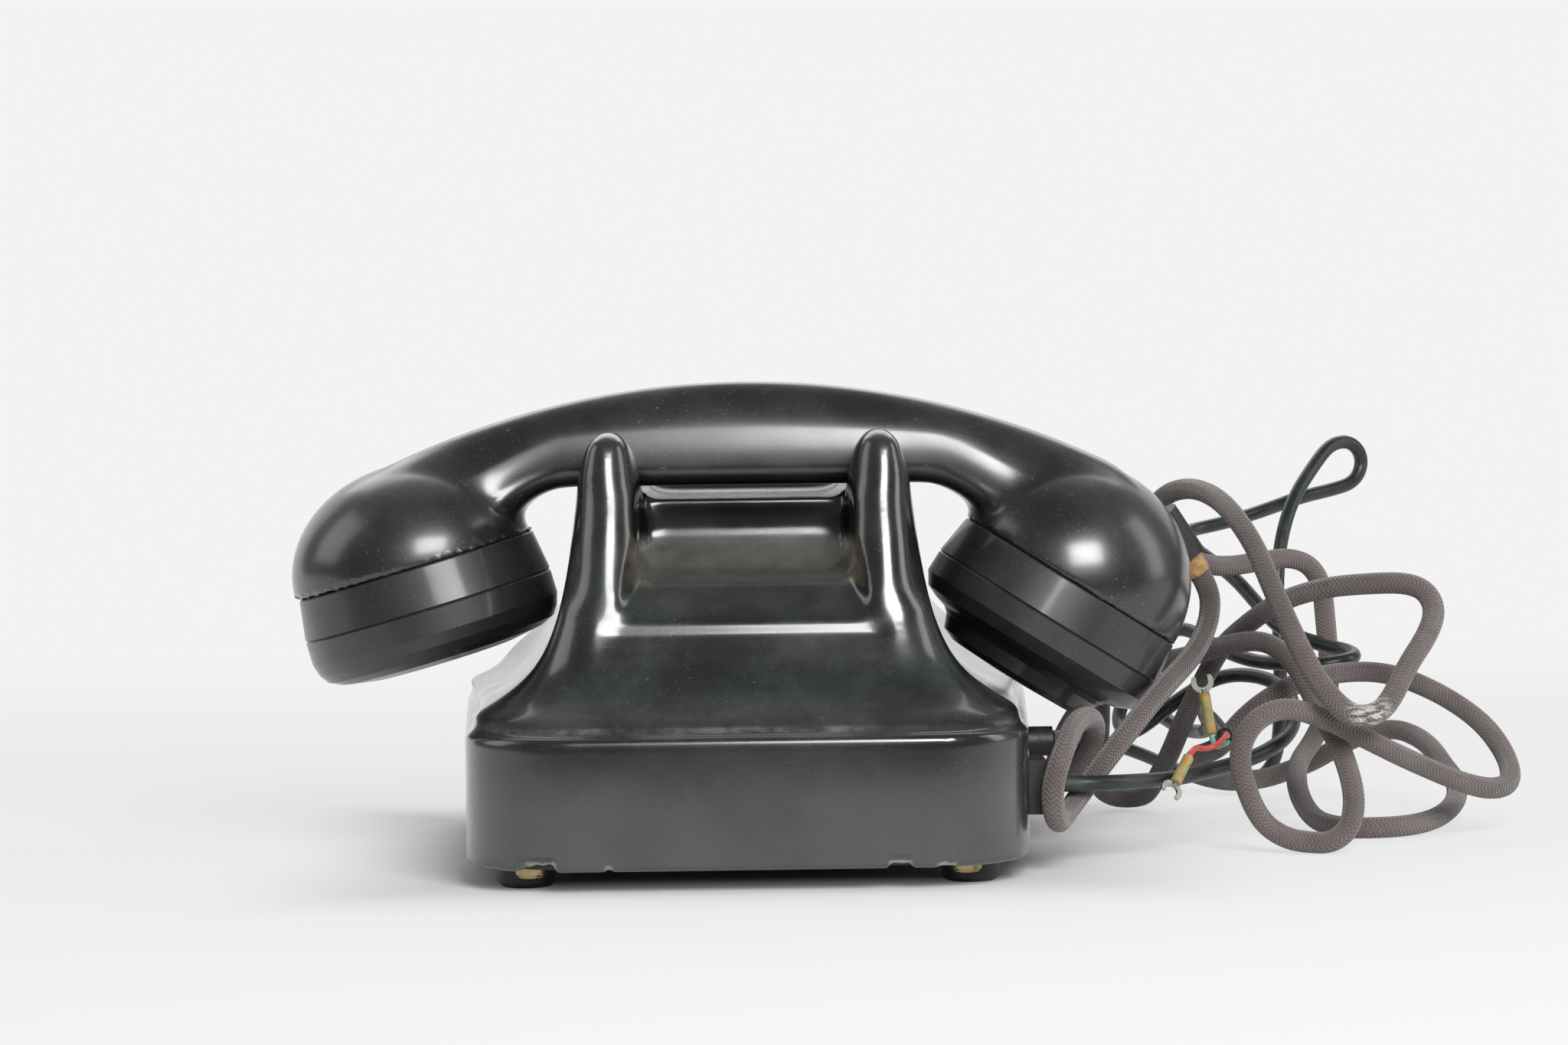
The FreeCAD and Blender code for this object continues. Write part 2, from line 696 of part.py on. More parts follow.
# Ringer on the base plate
frame_thickness = 1.5
frame_top = plate_top + frame_thickness
arm_z = ringer_z + 10.5
coil_start = -11.0
yoke_y = coil_start - 3
pin_radius = 1.2
core_radius = 4.0
ringer_frame = fused([
    box(-gong_x + 8, gong_x - 8, yoke_y, ringer_pivot_y + 3, plate_top, frame_top),
    box(-coil_x - core_radius - 4, coil_x + core_radius + 4, yoke_y, yoke_y + 2, plate_top, arm_z + frame_thickness),
    box(-5, 5, yoke_y, ringer_pivot_y + 3, arm_z, arm_z + frame_thickness),
])
pivot = V(0, ringer_pivot_y, 0)
pin_start = pivot.add(V(0, 0, plate_top))
pin_end = pivot.add(V(0, 0, arm_z + frame_thickness))
ringer_frame = ringer_frame.cut(cylinder(pin_radius + running_clearance, pin_start, pin_end))
save("ringer_frame", ringer_frame)
save("ringer_pin", cylinder(pin_radius, pin_start, pin_end))

core_end = ringer_pivot_y - 3.2
cores = []
coils = []
for x in (-coil_x, coil_x):
    cores.append(cylinder(core_radius, V(x, yoke_y + 2, ringer_z), V(x, core_end, ringer_z)))
    spool = fused([
        cylinder(8.8, V(x, yoke_y + 2, ringer_z), V(x, core_end - 3, ringer_z)),
        cylinder(10, V(x, yoke_y + 2, ringer_z), V(x, yoke_y + 3.5, ringer_z)),
        cylinder(10, V(x, core_end - 4.5, ringer_z), V(x, core_end - 3, ringer_z)),
    ])
    coils.append(spool.cut(cylinder(core_radius + 0.1, V(x, -40, ringer_z), V(x, 40, ringer_z))))
save("ringer_cores", *cores)
save("ringer_coils", *coils)

armature = fused([
    box(-15, 15, ringer_pivot_y - 1.2, ringer_pivot_y + 1.3, ringer_z - 4, ringer_z + 4),
    cylinder(3, pivot.add(V(0, 0, frame_top + 0.3)), pivot.add(V(0, 0, arm_z - 0.3))),
])
armature = armature.cut(cylinder(pin_radius + running_clearance, pin_start, pin_end))
save("ringer_armature", armature)
clapper_z = ringer_z + 1
rod_start = V(0, ringer_pivot_y + 2.8, clapper_z)
clapper = fused([
    cylinder(0.9, rod_start, V(0, gong_y, clapper_z)),
    Part.makeSphere(clapper_radius, V(0, gong_y, clapper_z)),
])
hub_space = cylinder(3, pivot, pivot.add(V(0, 0, 50)))
save("clapper", clapper.cut(hub_space))

gong_profile = [
    (gong_radius - gong_wall, gong_bottom), (gong_radius, gong_bottom), (gong_radius - 0.6, gong_bottom + 7),
    (gong_radius - 3, gong_top - 2.5), (gong_radius - 8, gong_top), (screw_radius + 0.2, gong_top),
    (screw_radius + 0.2, gong_top - gong_wall), (gong_radius - 8.5, gong_top - gong_wall),
    (gong_radius - 4.2, gong_top - 3.4), (gong_radius - 0.6 - gong_wall, gong_bottom + 6.6),
]
gong = turned(gong_profile)
post = tube(3.5, screw_radius + running_clearance, V(0, 0, plate_top), V(0, 0, gong_top - gong_wall))
gong_screw = fused([
    cylinder(screw_radius, V(0, 0, gong_bottom), V(0, 0, gong_top)),
    cylinder(screw_head_radius, V(0, 0, gong_top), V(0, 0, gong_top + 2)),
])
gong_screw = gong_screw.cut(box(-0.5, 0.5, -5, 5, gong_top + 1.2, gong_top + 3))
posts = []
gong_screws = []
for name, x in (("gong_left", -gong_x), ("gong_right", gong_x)):
    place = V(x, gong_y, 0)
    piece = gong.copy()
    piece.translate(place)
    save(name, piece)
    posts.append(post.copy())
    posts[-1].translate(place)
    gong_screws.append(gong_screw.copy())
    gong_screws[-1].translate(place)
save("gong_posts", *posts)
save("gong_screws", *gong_screws)

# Induction coil, capacitor and terminals on the base plate
bobbin_x = -42.0
works_y = -skirt_depth / 2 + 28
bobbin_y0 = works_y
bobbin_y1 = works_y + 44
bobbin_half = 10.0
bobbin_z = plate_top + bobbin_half
bobbin = fused([
    box(bobbin_x - bobbin_half, bobbin_x + bobbin_half, bobbin_y0, bobbin_y0 + 2, plate_top, bobbin_z + bobbin_half),
    box(bobbin_x - bobbin_half, bobbin_x + bobbin_half, bobbin_y1 - 2, bobbin_y1, plate_top, bobbin_z + bobbin_half),
    cylinder(4, V(bobbin_x, bobbin_y0, bobbin_z), V(bobbin_x, bobbin_y1, bobbin_z)),
])
save("induction_coil_bobbin", bobbin)
winding = tube(bobbin_half - 1, 4, V(bobbin_x, bobbin_y0 + 2, bobbin_z), V(bobbin_x, bobbin_y1 - 2, bobbin_z))
save("induction_coil_winding", winding)
can = box(32, 52, works_y, works_y + 46, plate_top, plate_top + 26)
can = can.makeFillet(2, [edge for edge in can.Edges if edge.BoundBox.ZLength > 20])
save("capacitor", can)
terminal_half = 26.0
terminal_y = -skirt_depth / 2 + 16
terminal_top = plate_top + 7.5
terminals = box(-terminal_half, terminal_half, terminal_y - 8, terminal_y + 8, plate_top, terminal_top)
terminal_screws = []
for i in range(6):
    x = -terminal_half + 6 + i * (2 * terminal_half - 12) / 5
    hole = cylinder(1.5 + running_clearance, V(x, terminal_y, plate_top + 2), V(x, terminal_y, 40))
    terminals = terminals.cut(hole)
    screw = fused([
        cylinder(1.5, V(x, terminal_y, plate_top + 3), V(x, terminal_y, terminal_top)),
        cylinder(3, V(x, terminal_y, terminal_top), V(x, terminal_y, terminal_top + 2)),
    ])
    terminal_slot = box(x - 0.4, x + 0.4, terminal_y - 9, terminal_y + 9, terminal_top + 1.2, terminal_top + 3)
    terminal_screws.append(screw.cut(terminal_slot))
save("terminal_block", terminals)
save("terminal_screws", *terminal_screws)


# Handset
def at_receiver(shape):
    placed = shape.copy()
    placed.rotate(ORIGIN, BACK, receiver_tilt)
    placed.translate(V(receiver_x, handset_y, receiver_z))
    return placed


def at_transmitter(shape):
    placed = shape.copy()
    placed.rotate(ORIGIN, BACK, transmitter_tilt)
    placed.translate(V(transmitter_x, handset_y, transmitter_z))
    return placed


# Grip stations from the middle outwards: the distance of each is even, then the underside
# below the middle's, and the half width
grip_step = (receiver_x + 8.6) / 8
GRIP = [
    (0.0, grip_half),
    (0.0, grip_half),
    (0.0, grip_half),
    (0.0, grip_half),
    (0.1, 12.8),
    (3.9, 13.6),
    (12.3, 15.0),
    (15.3, 15.0),
    (15.3, 12.0),
]


def grip():
    wires = []
    last = len(GRIP) - 1
    for i in range(-last, last + 1):
        drop, half = GRIP[abs(i)]
        x = grip_step * i
        top = grip_top - grip_arc_radius + math.sqrt(grip_arc_radius ** 2 - x ** 2)
        wires.append(grip_wire(x, grip_bottom - drop, top, half, grip_lean * half, grip_edge_radius, 9.5))
    return Part.makeLoft(wires, True, False)


def dome(height, inset):
    return half_ellipsoid(head_radius - inset, height - inset)


cord_exit = V(transmitter_x - 29.9, handset_y - 8, transmitter_z + 9.8)
cord_exit_way = V(-0.55, -0.15, -0.82).normalize()
collar_radius = 4.9
collar_out = 5.0
whipping_radius = 3.5
whipping_length = 5.5

grip_end = 5 * grip_step - 2
bore_points = [
    V(transmitter_x + 4.6, handset_y, 90),
    V(-grip_end, handset_y, wire_bore_z),
    V(grip_end, handset_y, wire_bore_z),
    V(receiver_x - 3.4, handset_y, 92),
]
wire_bore = [cylinder(wire_bore_radius, a, b) for a, b in zip(bore_points, bore_points[1:])]
wire_bore += [Part.makeSphere(wire_bore_radius, point) for point in bore_points[1:3]]
collar_start = cord_exit.sub(V(cord_exit_way).multiply(9))
collar_end = cord_exit.add(V(cord_exit_way).multiply(collar_out))
handset_body = fused([
    grip(),
    at_receiver(dome(receiver_dome, 0)),
    at_transmitter(dome(transmitter_dome, 0)),
])
handset_body = handset_body.cut(
    [at_receiver(dome(receiver_dome, head_wall)), at_transmitter(dome(transmitter_dome, head_wall))] + wire_bore
)
collar_hole = cylinder(collar_radius + running_clearance, collar_start, collar_end)
handset_body = handset_body.cut(collar_hole)
save("handset_body", handset_body)

ring_inner = head_radius - ring_wall
ring = turned([
    (ring_inner, 0), (head_radius - seam_chamfer, 0), (head_radius, -seam_chamfer),
    (head_radius + ring_growth, seam_chamfer - ring_height),
    (head_radius + ring_growth - seam_chamfer, -ring_height), (ring_inner, -ring_height),
])
save("receiver_ring", at_receiver(ring))
save("transmitter_ring", at_transmitter(ring))

cap_radius = head_radius + ring_growth
cap_inner = cap_radius - cap_wall
face = -ring_height - cap_depth
receiver_cap = turned([
    (cap_radius - seam_chamfer, -ring_height), (cap_radius, -ring_height - seam_chamfer), (cap_radius, face + 8.5),
    (cap_radius - 1, face + 5.3), (cap_radius - 2.6, face + 3),
    (cap_radius - 6, face + 1.4), (cap_radius - 14, face), (0, face), (0, face + cap_wall),
    (cap_inner, face + cap_wall), (cap_inner, -ring_height),
])
sound_spots = [(0, 0)] + [(9, i * 60) for i in range(6)]
receiver_cap = ring_of_holes(receiver_cap, sound_hole_radius, sound_spots, face - 5, face + 5)
save("receiver_cap", at_receiver(receiver_cap))

mouth = -ring_height - mouthpiece_depth
seat = -ring_height - 6.5
transmitter_cap = turned([
    (cap_radius - seam_chamfer, -ring_height), (cap_radius, -ring_height - seam_chamfer),
    (cap_radius, -ring_height - 6), (cap_radius - 2.2, -ring_height - 9.5),
    (cap_radius - 5.5, -ring_height - 11), (mouthpiece_radius + 3, -ring_height - 12),
    (mouthpiece_radius + 1.5, mouth + 5.6), (mouthpiece_radius, mouth + 2), (mouthpiece_radius - 3.5, mouth + 0.5),
    (mouthpiece_radius - 14, mouth), (0, mouth), (0, mouth + 3), (mouthpiece_radius - 3, mouth + 3.5),
    (mouthpiece_radius - 1.5, seat), (cap_inner, seat), (cap_inner, -ring_height),
])
speech_spots = [(0, 0)] + [(5.5, i * 60) for i in range(6)] + [(11, i * 30) for i in range(12)]
transmitter_cap = ring_of_holes(transmitter_cap, speech_hole_radius, speech_spots, mouth - 5, mouth + 5)
save("transmitter_cap", at_transmitter(transmitter_cap))

capsule_radius = cap_inner - capsule_fit
receiver_capsule_top = face + cap_wall + 9
transmitter_capsule_top = seat + 7
disc_radius = ring_inner - dial_fit


def capsule(bottom, top):
    return fused([
        cylinder(capsule_radius, V(0, 0, bottom), V(0, 0, top - 3)),
        cylinder(capsule_radius - 5, V(0, 0, top - 3), V(0, 0, top)),
    ])


def contacts(capsule_top):
    pieces = [cylinder(disc_radius, V(0, 0, -contact_disc_thickness), ORIGIN)]
    for x in (-8, 8):
        pieces.append(cylinder(contact_pin_radius, V(x, 0, capsule_top), V(x, 0, -contact_disc_thickness)))
    return fused(pieces)


save("receiver_capsule", at_receiver(capsule(face + cap_wall, receiver_capsule_top)))
save("transmitter_capsule", at_transmitter(capsule(seat, transmitter_capsule_top)))
save("receiver_contacts", at_receiver(contacts(receiver_capsule_top)))
save("transmitter_contacts", at_transmitter(contacts(transmitter_capsule_top)))

# Cord fitting on the handset
collar = cylinder(collar_radius, collar_start, collar_end)
whipping_end = collar_end.add(V(cord_exit_way).multiply(whipping_length))
save("handset_cord_collar", collar)
whipping = cylinder(whipping_radius, collar_end, whipping_end)
save("cord_whipping", whipping.cut(at_transmitter(dome(transmitter_dome, -0.1))))


# Cords. The points of a route were chosen by hand along the cord in the photograph.
def bent_tube(points, radius):
    # straight runs joined by tangent arcs, swept with a round section
    route = [V(*point) for point in points]
    runs = [end.sub(start) for start, end in zip(route, route[1:])]
    edges = []
    start = route[0]
    length = 0.0
    tightest = math.inf
    for corner, before, after in zip(route[1:], runs, runs[1:]):
        half_turn = before.getAngle(after) / 2
        reach = arc_share * min(before.Length, after.Length)
        arc_radius = reach / math.tan(half_turn)
        into = V(before).normalize()
        out_of = V(after).normalize()
        arc_start = corner.sub(V(into).multiply(reach))
        arc_end = corner.add(V(out_of).multiply(reach))
        inward = out_of.sub(into).normalize()
        arc_middle = corner.add(inward.multiply(arc_radius / math.cos(half_turn) - arc_radius))
        edges.append(Part.LineSegment(start, arc_start).toShape())
        edges.append(Part.Arc(arc_start, arc_middle, arc_end).toShape())
        length += arc_start.sub(start).Length + 2 * half_turn * arc_radius
        tightest = min(tightest, arc_radius)
        start = arc_end
    edges.append(Part.LineSegment(start, route[-1]).toShape())
    length += route[-1].sub(start).Length
    section = Part.Wire([Part.makeCircle(radius, route[0], runs[0])])
    solid = Part.Wire(edges).makePipeShell([section], True, False)
    whole = solid.Volume / (math.pi * radius ** 2 * length)
    print(f"route: {length:.0f} mm long, tightest radius {tightest:.1f} mm, volume share {whole:.3f}")
    return solid


arc_share = 0.45
straight_exit = 5.0
handset_cord_route = [
    tuple(whipping_end), tuple(whipping_end.add(V(cord_exit_way).multiply(straight_exit))),
    (-125.3, 4.5, 62.5), (-122.5, 9, 56), (-118, 17, 51), (-110, 28, 45),
    (-101, 37, 36), (-92, 43, 26), (-85, 48, 18), (-80.5, 56, 13.5), (-78.5, 64, 13.5), (-77, 68, 17.5),
    (-77, 68.5, 24), (-80, 66, 32), (-84, 53, 38), (-89, 45, 39), (-91, 37, 34), (-89, 31, 27),
    (-85, 23, 22), (-83, 11, 20), (-83, -1, 20), (-85, -13, 22), (-88, -28, 27), (-94, -39, 34),
    (-105, -46, 41), (-117, -43, 46), (-126, -30, 49), (-134, -17, 53), (-143, -10, 54),
    (-150, -3, 47), (-154, 4, 37), (-159, 14, 26), (-161, 23, 15), (-159, 28, 7), (-154, 29, 3),
    (-148, 28, 3), (-142, 27, 4), (-136, 28, 8), (-132, 29, 15), (-129, 28, 26), (-133, 26, 35),
    (-142, 24, 39), (-154, 21, 35), (-167, 16, 28), (-179, 10, 22), (-192, 4, 16), (-202, -1, 13),
    (-209, -8, 14), (-210, -18, 20), (-205, -26, 29), (-194, -31, 37), (-180, -30, 43),
    (-166, -25, 44), (-153, -19, 42), (-142, -14, 37), (-135, -14, 31), (-131.5, -17, 25.5),
    (-129, -23, 22.5), (-125, -33, 20), (-127, -46, 15), (-134, -57, 11), (-143, -68, 9),
    (-152, -77, 9), (-160, -82, 11), (-166, -83, 13), (-172, -80, 17), (-180, -80, 21),
    (-189, -79, 23), (-195, -74, 21), (-198, -65, 18), (-199, -53, 14), (-200, -39, 11),
    (-197, -25, 7), (-190, -14, 4), (-181, -6, 3), (-170, -2, 3), (-161, -4, 3), (-156, -11, 4),
    (-154, -21, 7), (-154, -35, 11), (-156, -48, 16), (-163, -60, 22), (-168, -67, 30),
    (-169, -70, 42), (-168, -71, 56), (-167, -70, 66), (-163, -69, 72), (-156, -66, 74),
    (-147, -60, 73), (-135, -51, 72), (-124, -43, 75), (-116, -37, 82), (-114, -31, 90),
    (-118, -22, 95), (-124, -11, 96), (-130, 1, 92), (-136, 11, 82), (-140, 18, 70), (-145, 23, 57),
    (-150, 28, 46), (-155.5, 31, 39), (-160, 32, 36.5), (-165.5, 31.5, 37), (-169.5, 29.5, 40.5),
    (-175, 23, 49), (-182, 16, 57), (-185, 10, 63), (-183, 7, 68), (-178, 5, 70), (-170, 4, 70),
    (-157, 1, 69), (-146, -8, 65), (-139, -22, 58), (-133, -33, 51), (-128, -39, 40), (-124, -48, 29),
    (-121, -58, 18), (-118, -67, 10), (-116, -73, 5), (-113, -78, 3.5), (-107.5, -79.5, 3.5),
    (-103, -77.5, 6), (-101.5, -73.5, 11.5), (-102, -69, 20), (-102, -63, 34), (-99, -56, 45),
    (-97, -46, 50), (-95, -36, 47), (-93, -25, 40), (-91, -11, 35), (-92, 3, 32), (-92, 13, 31),
    (-91.5, 20, 30.5), (-86.5, 24, 30.5),
    tuple(sleeve_end),
]
outlet_face = V(skirt_x - outlet_out, outlet_y, outlet_z)
line_cord_route = [
    tuple(outlet_face),
    (-87, 54, 22.3), (-96, 49.5, 22), (-104.5, 41.5, 21.5), (-113, 32, 21), (-124, 21, 22), (-136, 12, 24),
    (-146, 2, 28),
    (-151, -14, 33), (-151, -31, 39), (-144, -43, 42), (-135, -53, 41), (-125, -58, 35),
    (-116, -63, 27), (-111, -69, 23), (-108, -77, 25), (-110, -84, 31), (-116, -87, 40),
    (-122, -86, 49), (-126, -82, 53), (-131, -75, 52), (-136, -63, 48), (-144, -51, 45),
    (-153, -41, 45), (-161, -36, 45), (-168, -36, 46), (-172, -41, 47), (-171, -49, 48),
    (-165, -56, 49), (-154, -64, 53), (-149, -75, 60), (-143, -85, 68), (-134, -96, 75),
    (-130, -107, 79), (-134, -116, 80), (-146, -122, 82), (-158, -130, 85), (-171, -137, 89),
    (-182, -143, 91), (-189, -146, 93), (-192, -148, 98), (-191, -147, 103), (-187, -145, 106),
    (-181, -141, 105), (-175, -134, 99), (-167, -125, 89), (-162, -117, 77), (-160, -112, 64),
    (-160, -108, 50), (-160, -106, 35), (-160, -108, 21), (-159, -110, 11), (-155, -112, 5),
    (-147, -116, 2.5), (-137, -124, 4), (-129, -137, 7), (-119, -147, 11), (-106, -155, 14),
    (-92, -159, 14), (-80, -156, 15), (-74, -149, 22), (-74, -139, 33), (-79, -128, 43),
    (-87, -117, 48), (-97, -107, 47), (-107, -99, 40), (-116, -90, 31), (-123, -79, 26),
    (-127, -67, 24), (-131, -52, 25), (-130, -38, 29), (-127, -27, 33), (-128, -16, 32),
    (-129.2, -8, 30), (-129.6, -1, 28.8),
]
save("handset_cord", bent_tube(handset_cord_route, cord_diameter / 2))
save("line_cord", bent_tube(line_cord_route, line_cord_diameter / 2))

# Cut end of the line cord with its two wires and their fork lugs
filler_radius = 1.7
filler_length = 1.4
wire_radius = 0.75
wire_offset = 0.85
lug_sleeve_radius = 1.45
lug_sleeve_bore = wire_radius + 0.05
wire_grip = 3.0
wire_straight = 2.5
fork_radius = 3.0
fork_slot = 1.6
fork_reach = 3.1
fork_length = 4.7
fork_thickness = 0.7

cord_cut = V(*line_cord_route[-1])
cut_way = cord_cut.sub(V(*line_cord_route[-2])).normalize()
filler_end = cord_cut.add(V(cut_way).multiply(filler_length))
face_up = UP.sub(V(cut_way).multiply(UP.dot(cut_way))).normalize()
save("cut_sheath_end", cylinder(filler_radius, cord_cut, filler_end))


def aimed(shape, start, way):
    # turn a shape from +X to a direction, its flat side to +Y, and move it to its start
    forward = V(way).normalize()
    across = forward.cross(BACK).normalize()
    shape.Placement = FreeCAD.Placement(start, FreeCAD.Rotation(forward, across, BACK, "XZY"))
    return shape


def fork_lug(inside):
    plate = Part.makeCylinder(fork_radius, fork_thickness, V(fork_reach, 0, -fork_thickness / 2))
    plate = plate.cut(box(fork_length, 10, -10, 10, -1, 1))
    plate = plate.cut(Part.makeCylinder(fork_slot, 2, V(fork_reach, 0, -1)))
    plate = plate.cut(box(fork_reach, 10, -fork_slot, fork_slot, -1, 1))
    barrel = cylinder(wire_radius, V(-inside, 0, 0), V(fork_reach - fork_slot - 0.2, 0, 0))
    return fused([plate, barrel])


wires = {
    "green_wire": (-wire_offset, [
        (-128.4, 6, 27.3), (-126, 10, 26.8),
    ], V(-124.2, 12.5, 30.9), V(-122.4, 12.5, 41.6)),
    "red_wire": (wire_offset, [
        (-129, 7, 30.2), (-127.5, 13, 29.4), (-124.8, 18, 28), (-121, 22.5, 27.5), (-118.3, 27, 28.6),
    ], V(-115.4, 34, 26.5), V(-111, 42, 20.8)),
}
lug_sleeves = []
fork_lugs = []
for name, (rise, points, sleeve_foot, sleeve_tip) in wires.items():
    way = sleeve_tip.sub(sleeve_foot).normalize()
    length = sleeve_tip.sub(sleeve_foot).Length
    wire_start = filler_end.add(V(face_up).multiply(rise))
    first_run = wire_start.add(V(cut_way).multiply(wire_straight))
    last_run = sleeve_foot.sub(V(way).multiply(wire_straight))
    wire_end = sleeve_foot.add(V(way).multiply(wire_grip))
    route = [wire_start, first_run] + [V(*point) for point in points] + [last_run, wire_end]
    save(name, bent_tube([tuple(point) for point in route], wire_radius))
    lug_sleeves.append(tube(lug_sleeve_radius, lug_sleeve_bore, sleeve_foot, sleeve_tip))
    fork_lugs.append(aimed(fork_lug(length - wire_grip), sleeve_tip, way))
save("lug_sleeves", *lug_sleeves)
save("fork_lugs", *fork_lugs)
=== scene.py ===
import math

import bmesh
import bpy
import numpy as np
from mathutils import Matrix, Vector, noise
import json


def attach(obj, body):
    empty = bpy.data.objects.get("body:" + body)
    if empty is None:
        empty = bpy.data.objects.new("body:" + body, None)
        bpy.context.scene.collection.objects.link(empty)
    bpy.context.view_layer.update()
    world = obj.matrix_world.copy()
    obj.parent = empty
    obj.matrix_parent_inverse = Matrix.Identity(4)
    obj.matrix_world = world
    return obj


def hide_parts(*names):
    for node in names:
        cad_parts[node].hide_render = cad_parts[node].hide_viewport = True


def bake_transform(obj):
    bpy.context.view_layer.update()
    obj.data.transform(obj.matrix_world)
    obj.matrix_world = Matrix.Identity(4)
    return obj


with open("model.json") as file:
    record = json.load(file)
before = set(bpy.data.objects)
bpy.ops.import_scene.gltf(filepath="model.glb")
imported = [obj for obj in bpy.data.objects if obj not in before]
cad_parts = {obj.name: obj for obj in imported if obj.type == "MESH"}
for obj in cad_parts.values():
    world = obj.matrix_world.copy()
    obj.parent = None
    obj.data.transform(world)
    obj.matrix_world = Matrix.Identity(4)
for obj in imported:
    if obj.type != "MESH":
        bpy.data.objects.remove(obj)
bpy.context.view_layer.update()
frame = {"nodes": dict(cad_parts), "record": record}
scene = bpy.context.scene
scene.view_settings.view_transform = "Standard"
nodes = frame["nodes"]
MM = 0.001


def mm(*point):
    return Vector(point) * MM


# Camera: a metre behind the telephone, level with the top of the handset
FRAME_WIDTH, FRAME_HEIGHT = 2048, 1365
CAMERA_PLACE = Vector((0.0, 0.999, 0.125))
CAMERA_LENS, CAMERA_SENSOR = 85.0, 36.0
HORIZON_ROW = 505.0
AIM_COLUMNS = 52.0
CAMERA_ROLL = math.radians(0.75)


def make_camera():
    pixels = CAMERA_LENS / CAMERA_SENSOR * FRAME_WIDTH
    pitch = math.atan((FRAME_HEIGHT / 2 - HORIZON_ROW) / pixels)
    yaw = math.atan(AIM_COLUMNS / pixels)
    forward = Vector((
        -math.sin(yaw) * math.cos(pitch),
        -math.cos(yaw) * math.cos(pitch),
        -math.sin(pitch),
    ))
    level = forward.cross(Vector((0, 0, 1))).normalized()
    above = level.cross(forward)
    right = math.cos(CAMERA_ROLL) * level - math.sin(CAMERA_ROLL) * above
    up = math.sin(CAMERA_ROLL) * level + math.cos(CAMERA_ROLL) * above
    data = bpy.data.cameras.new("camera")
    data.lens = CAMERA_LENS
    data.sensor_width = CAMERA_SENSOR
    camera = bpy.data.objects.new("camera", data)
    turn = Matrix((right, up, -forward)).transposed().to_4x4()
    camera.matrix_world = Matrix.Translation(CAMERA_PLACE) @ turn
    scene.collection.objects.link(camera)
    scene.camera = camera


# Node helpers
def colour(value):
    if isinstance(value, tuple) and len(value) == 3:
        return (*value, 1.0)
    return value


class Shader:
    """A material's node tree, with short calls for the nodes that it uses."""

    def __init__(self, name):
        self.material = bpy.data.materials.new(name)
        self.material.use_nodes = True
        self.tree = self.material.node_tree
        self.tree.nodes.clear()
        self.out = self.node("OutputMaterial")
        self.surface = self.node("BsdfPrincipled")
        self.put(self.out.inputs[0], self.surface.outputs[0])

    def node(self, kind):
        return self.tree.nodes.new("ShaderNode" + kind)

    def put(self, socket, value):
        if isinstance(value, bpy.types.NodeSocket):
            self.tree.links.new(value, socket)
        else:
            socket.default_value = value

    def set(self, **values):
        for name, value in values.items():
            self.put(self.surface.inputs[name.replace("_", " ")], value)

    def position(self):
        return self.node("NewGeometry").outputs["Position"]

    def normal_up(self):
        return self.split(self.node("NewGeometry").outputs["Normal"])[2]

    def object_point(self):
        return self.node("TexCoord").outputs["Object"]

    def uv(self):
        return self.node("TexCoord").outputs["UV"]

    def split(self, vector):
        node = self.node("SeparateXYZ")
        self.put(node.inputs[0], vector)
        return node.outputs

    def math(self, kind, first, second=0.0, clamp=False):
        node = self.node("Math")
        node.operation = kind
        node.use_clamp = clamp
        for socket, value in zip(node.inputs, (first, second)):
            self.put(socket, value)
        return node.outputs[0]

    def times(self, first, *others):
        for other in others:
            first = self.math("MULTIPLY", first, other)
        return first

    def away(self, value, middle):
        """How far a value is from a middle one."""
        return self.math("ABSOLUTE", self.math("SUBTRACT", value, middle))

    def noise(self, vector, scale, detail=4.0, roughness=0.55, stretch=None):
        if stretch:
            mapping = self.node("Mapping")
            mapping.inputs["Scale"].default_value = stretch
            self.put(mapping.inputs[0], vector)
            vector = mapping.outputs[0]
        node = self.node("TexNoise")
        self.put(node.inputs["Vector"], vector)
        node.inputs["Scale"].default_value = scale
        node.inputs["Detail"].default_value = detail
        node.inputs["Roughness"].default_value = roughness
        return node.outputs[0]

    def ramp(self, value, low, high, out_low=0.0, out_high=1.0):
        node = self.node("MapRange")
        node.interpolation_type = "SMOOTHSTEP"
        for socket, amount in zip(node.inputs[:5], (value, low, high, out_low, out_high)):
            self.put(socket, amount)
        return node.outputs[0]

    def span(self, value, low, low_full, high_full, high):
        """1 between the two full limits, and 0 outside the outer ones."""
        rising = self.ramp(value, low, low_full)
        return self.times(rising, self.ramp(value, high_full, high, 1.0, 0.0))

    def mix(self, share, first, second):
        node = self.node("Mix")
        node.data_type = "RGBA"
        self.put(node.inputs[0], share)
        self.put(node.inputs[6], colour(first))
        self.put(node.inputs[7], colour(second))
        return node.outputs[2]

    def bump(self, height, distance, strength=1.0, normal=None):
        node = self.node("Bump")
        node.inputs["Strength"].default_value = strength
        node.inputs["Distance"].default_value = distance
        self.put(node.inputs["Height"], height)
        if normal:
            self.put(node.inputs["Normal"], normal)
        return node.outputs[0]


# World and lamps
SEEN_WORLD = (0.905, 0.905, 0.915)
WORLD_LIGHT, WORLD_STRENGTH = (0.95, 0.97, 1.0), 0.22
# Name, place, point aimed at, width, height and power
LAMPS = (
    ("key", (-0.275, 0.915, 0.57), (0, 0, 0.09), 0.54, 0.36, 10.5),
    ("above", (0.0, -1.35, 1.35), (0, 0, 0.05), 2.0, 0.9, 10),
    ("left", (1.5, 0.0, 0.9), (0, 0, 0.06), 0.9, 1.2, 5),
    ("right", (-1.5, 0.1, 0.7), (0, 0, 0.06), 0.5, 1.2, 5),
)


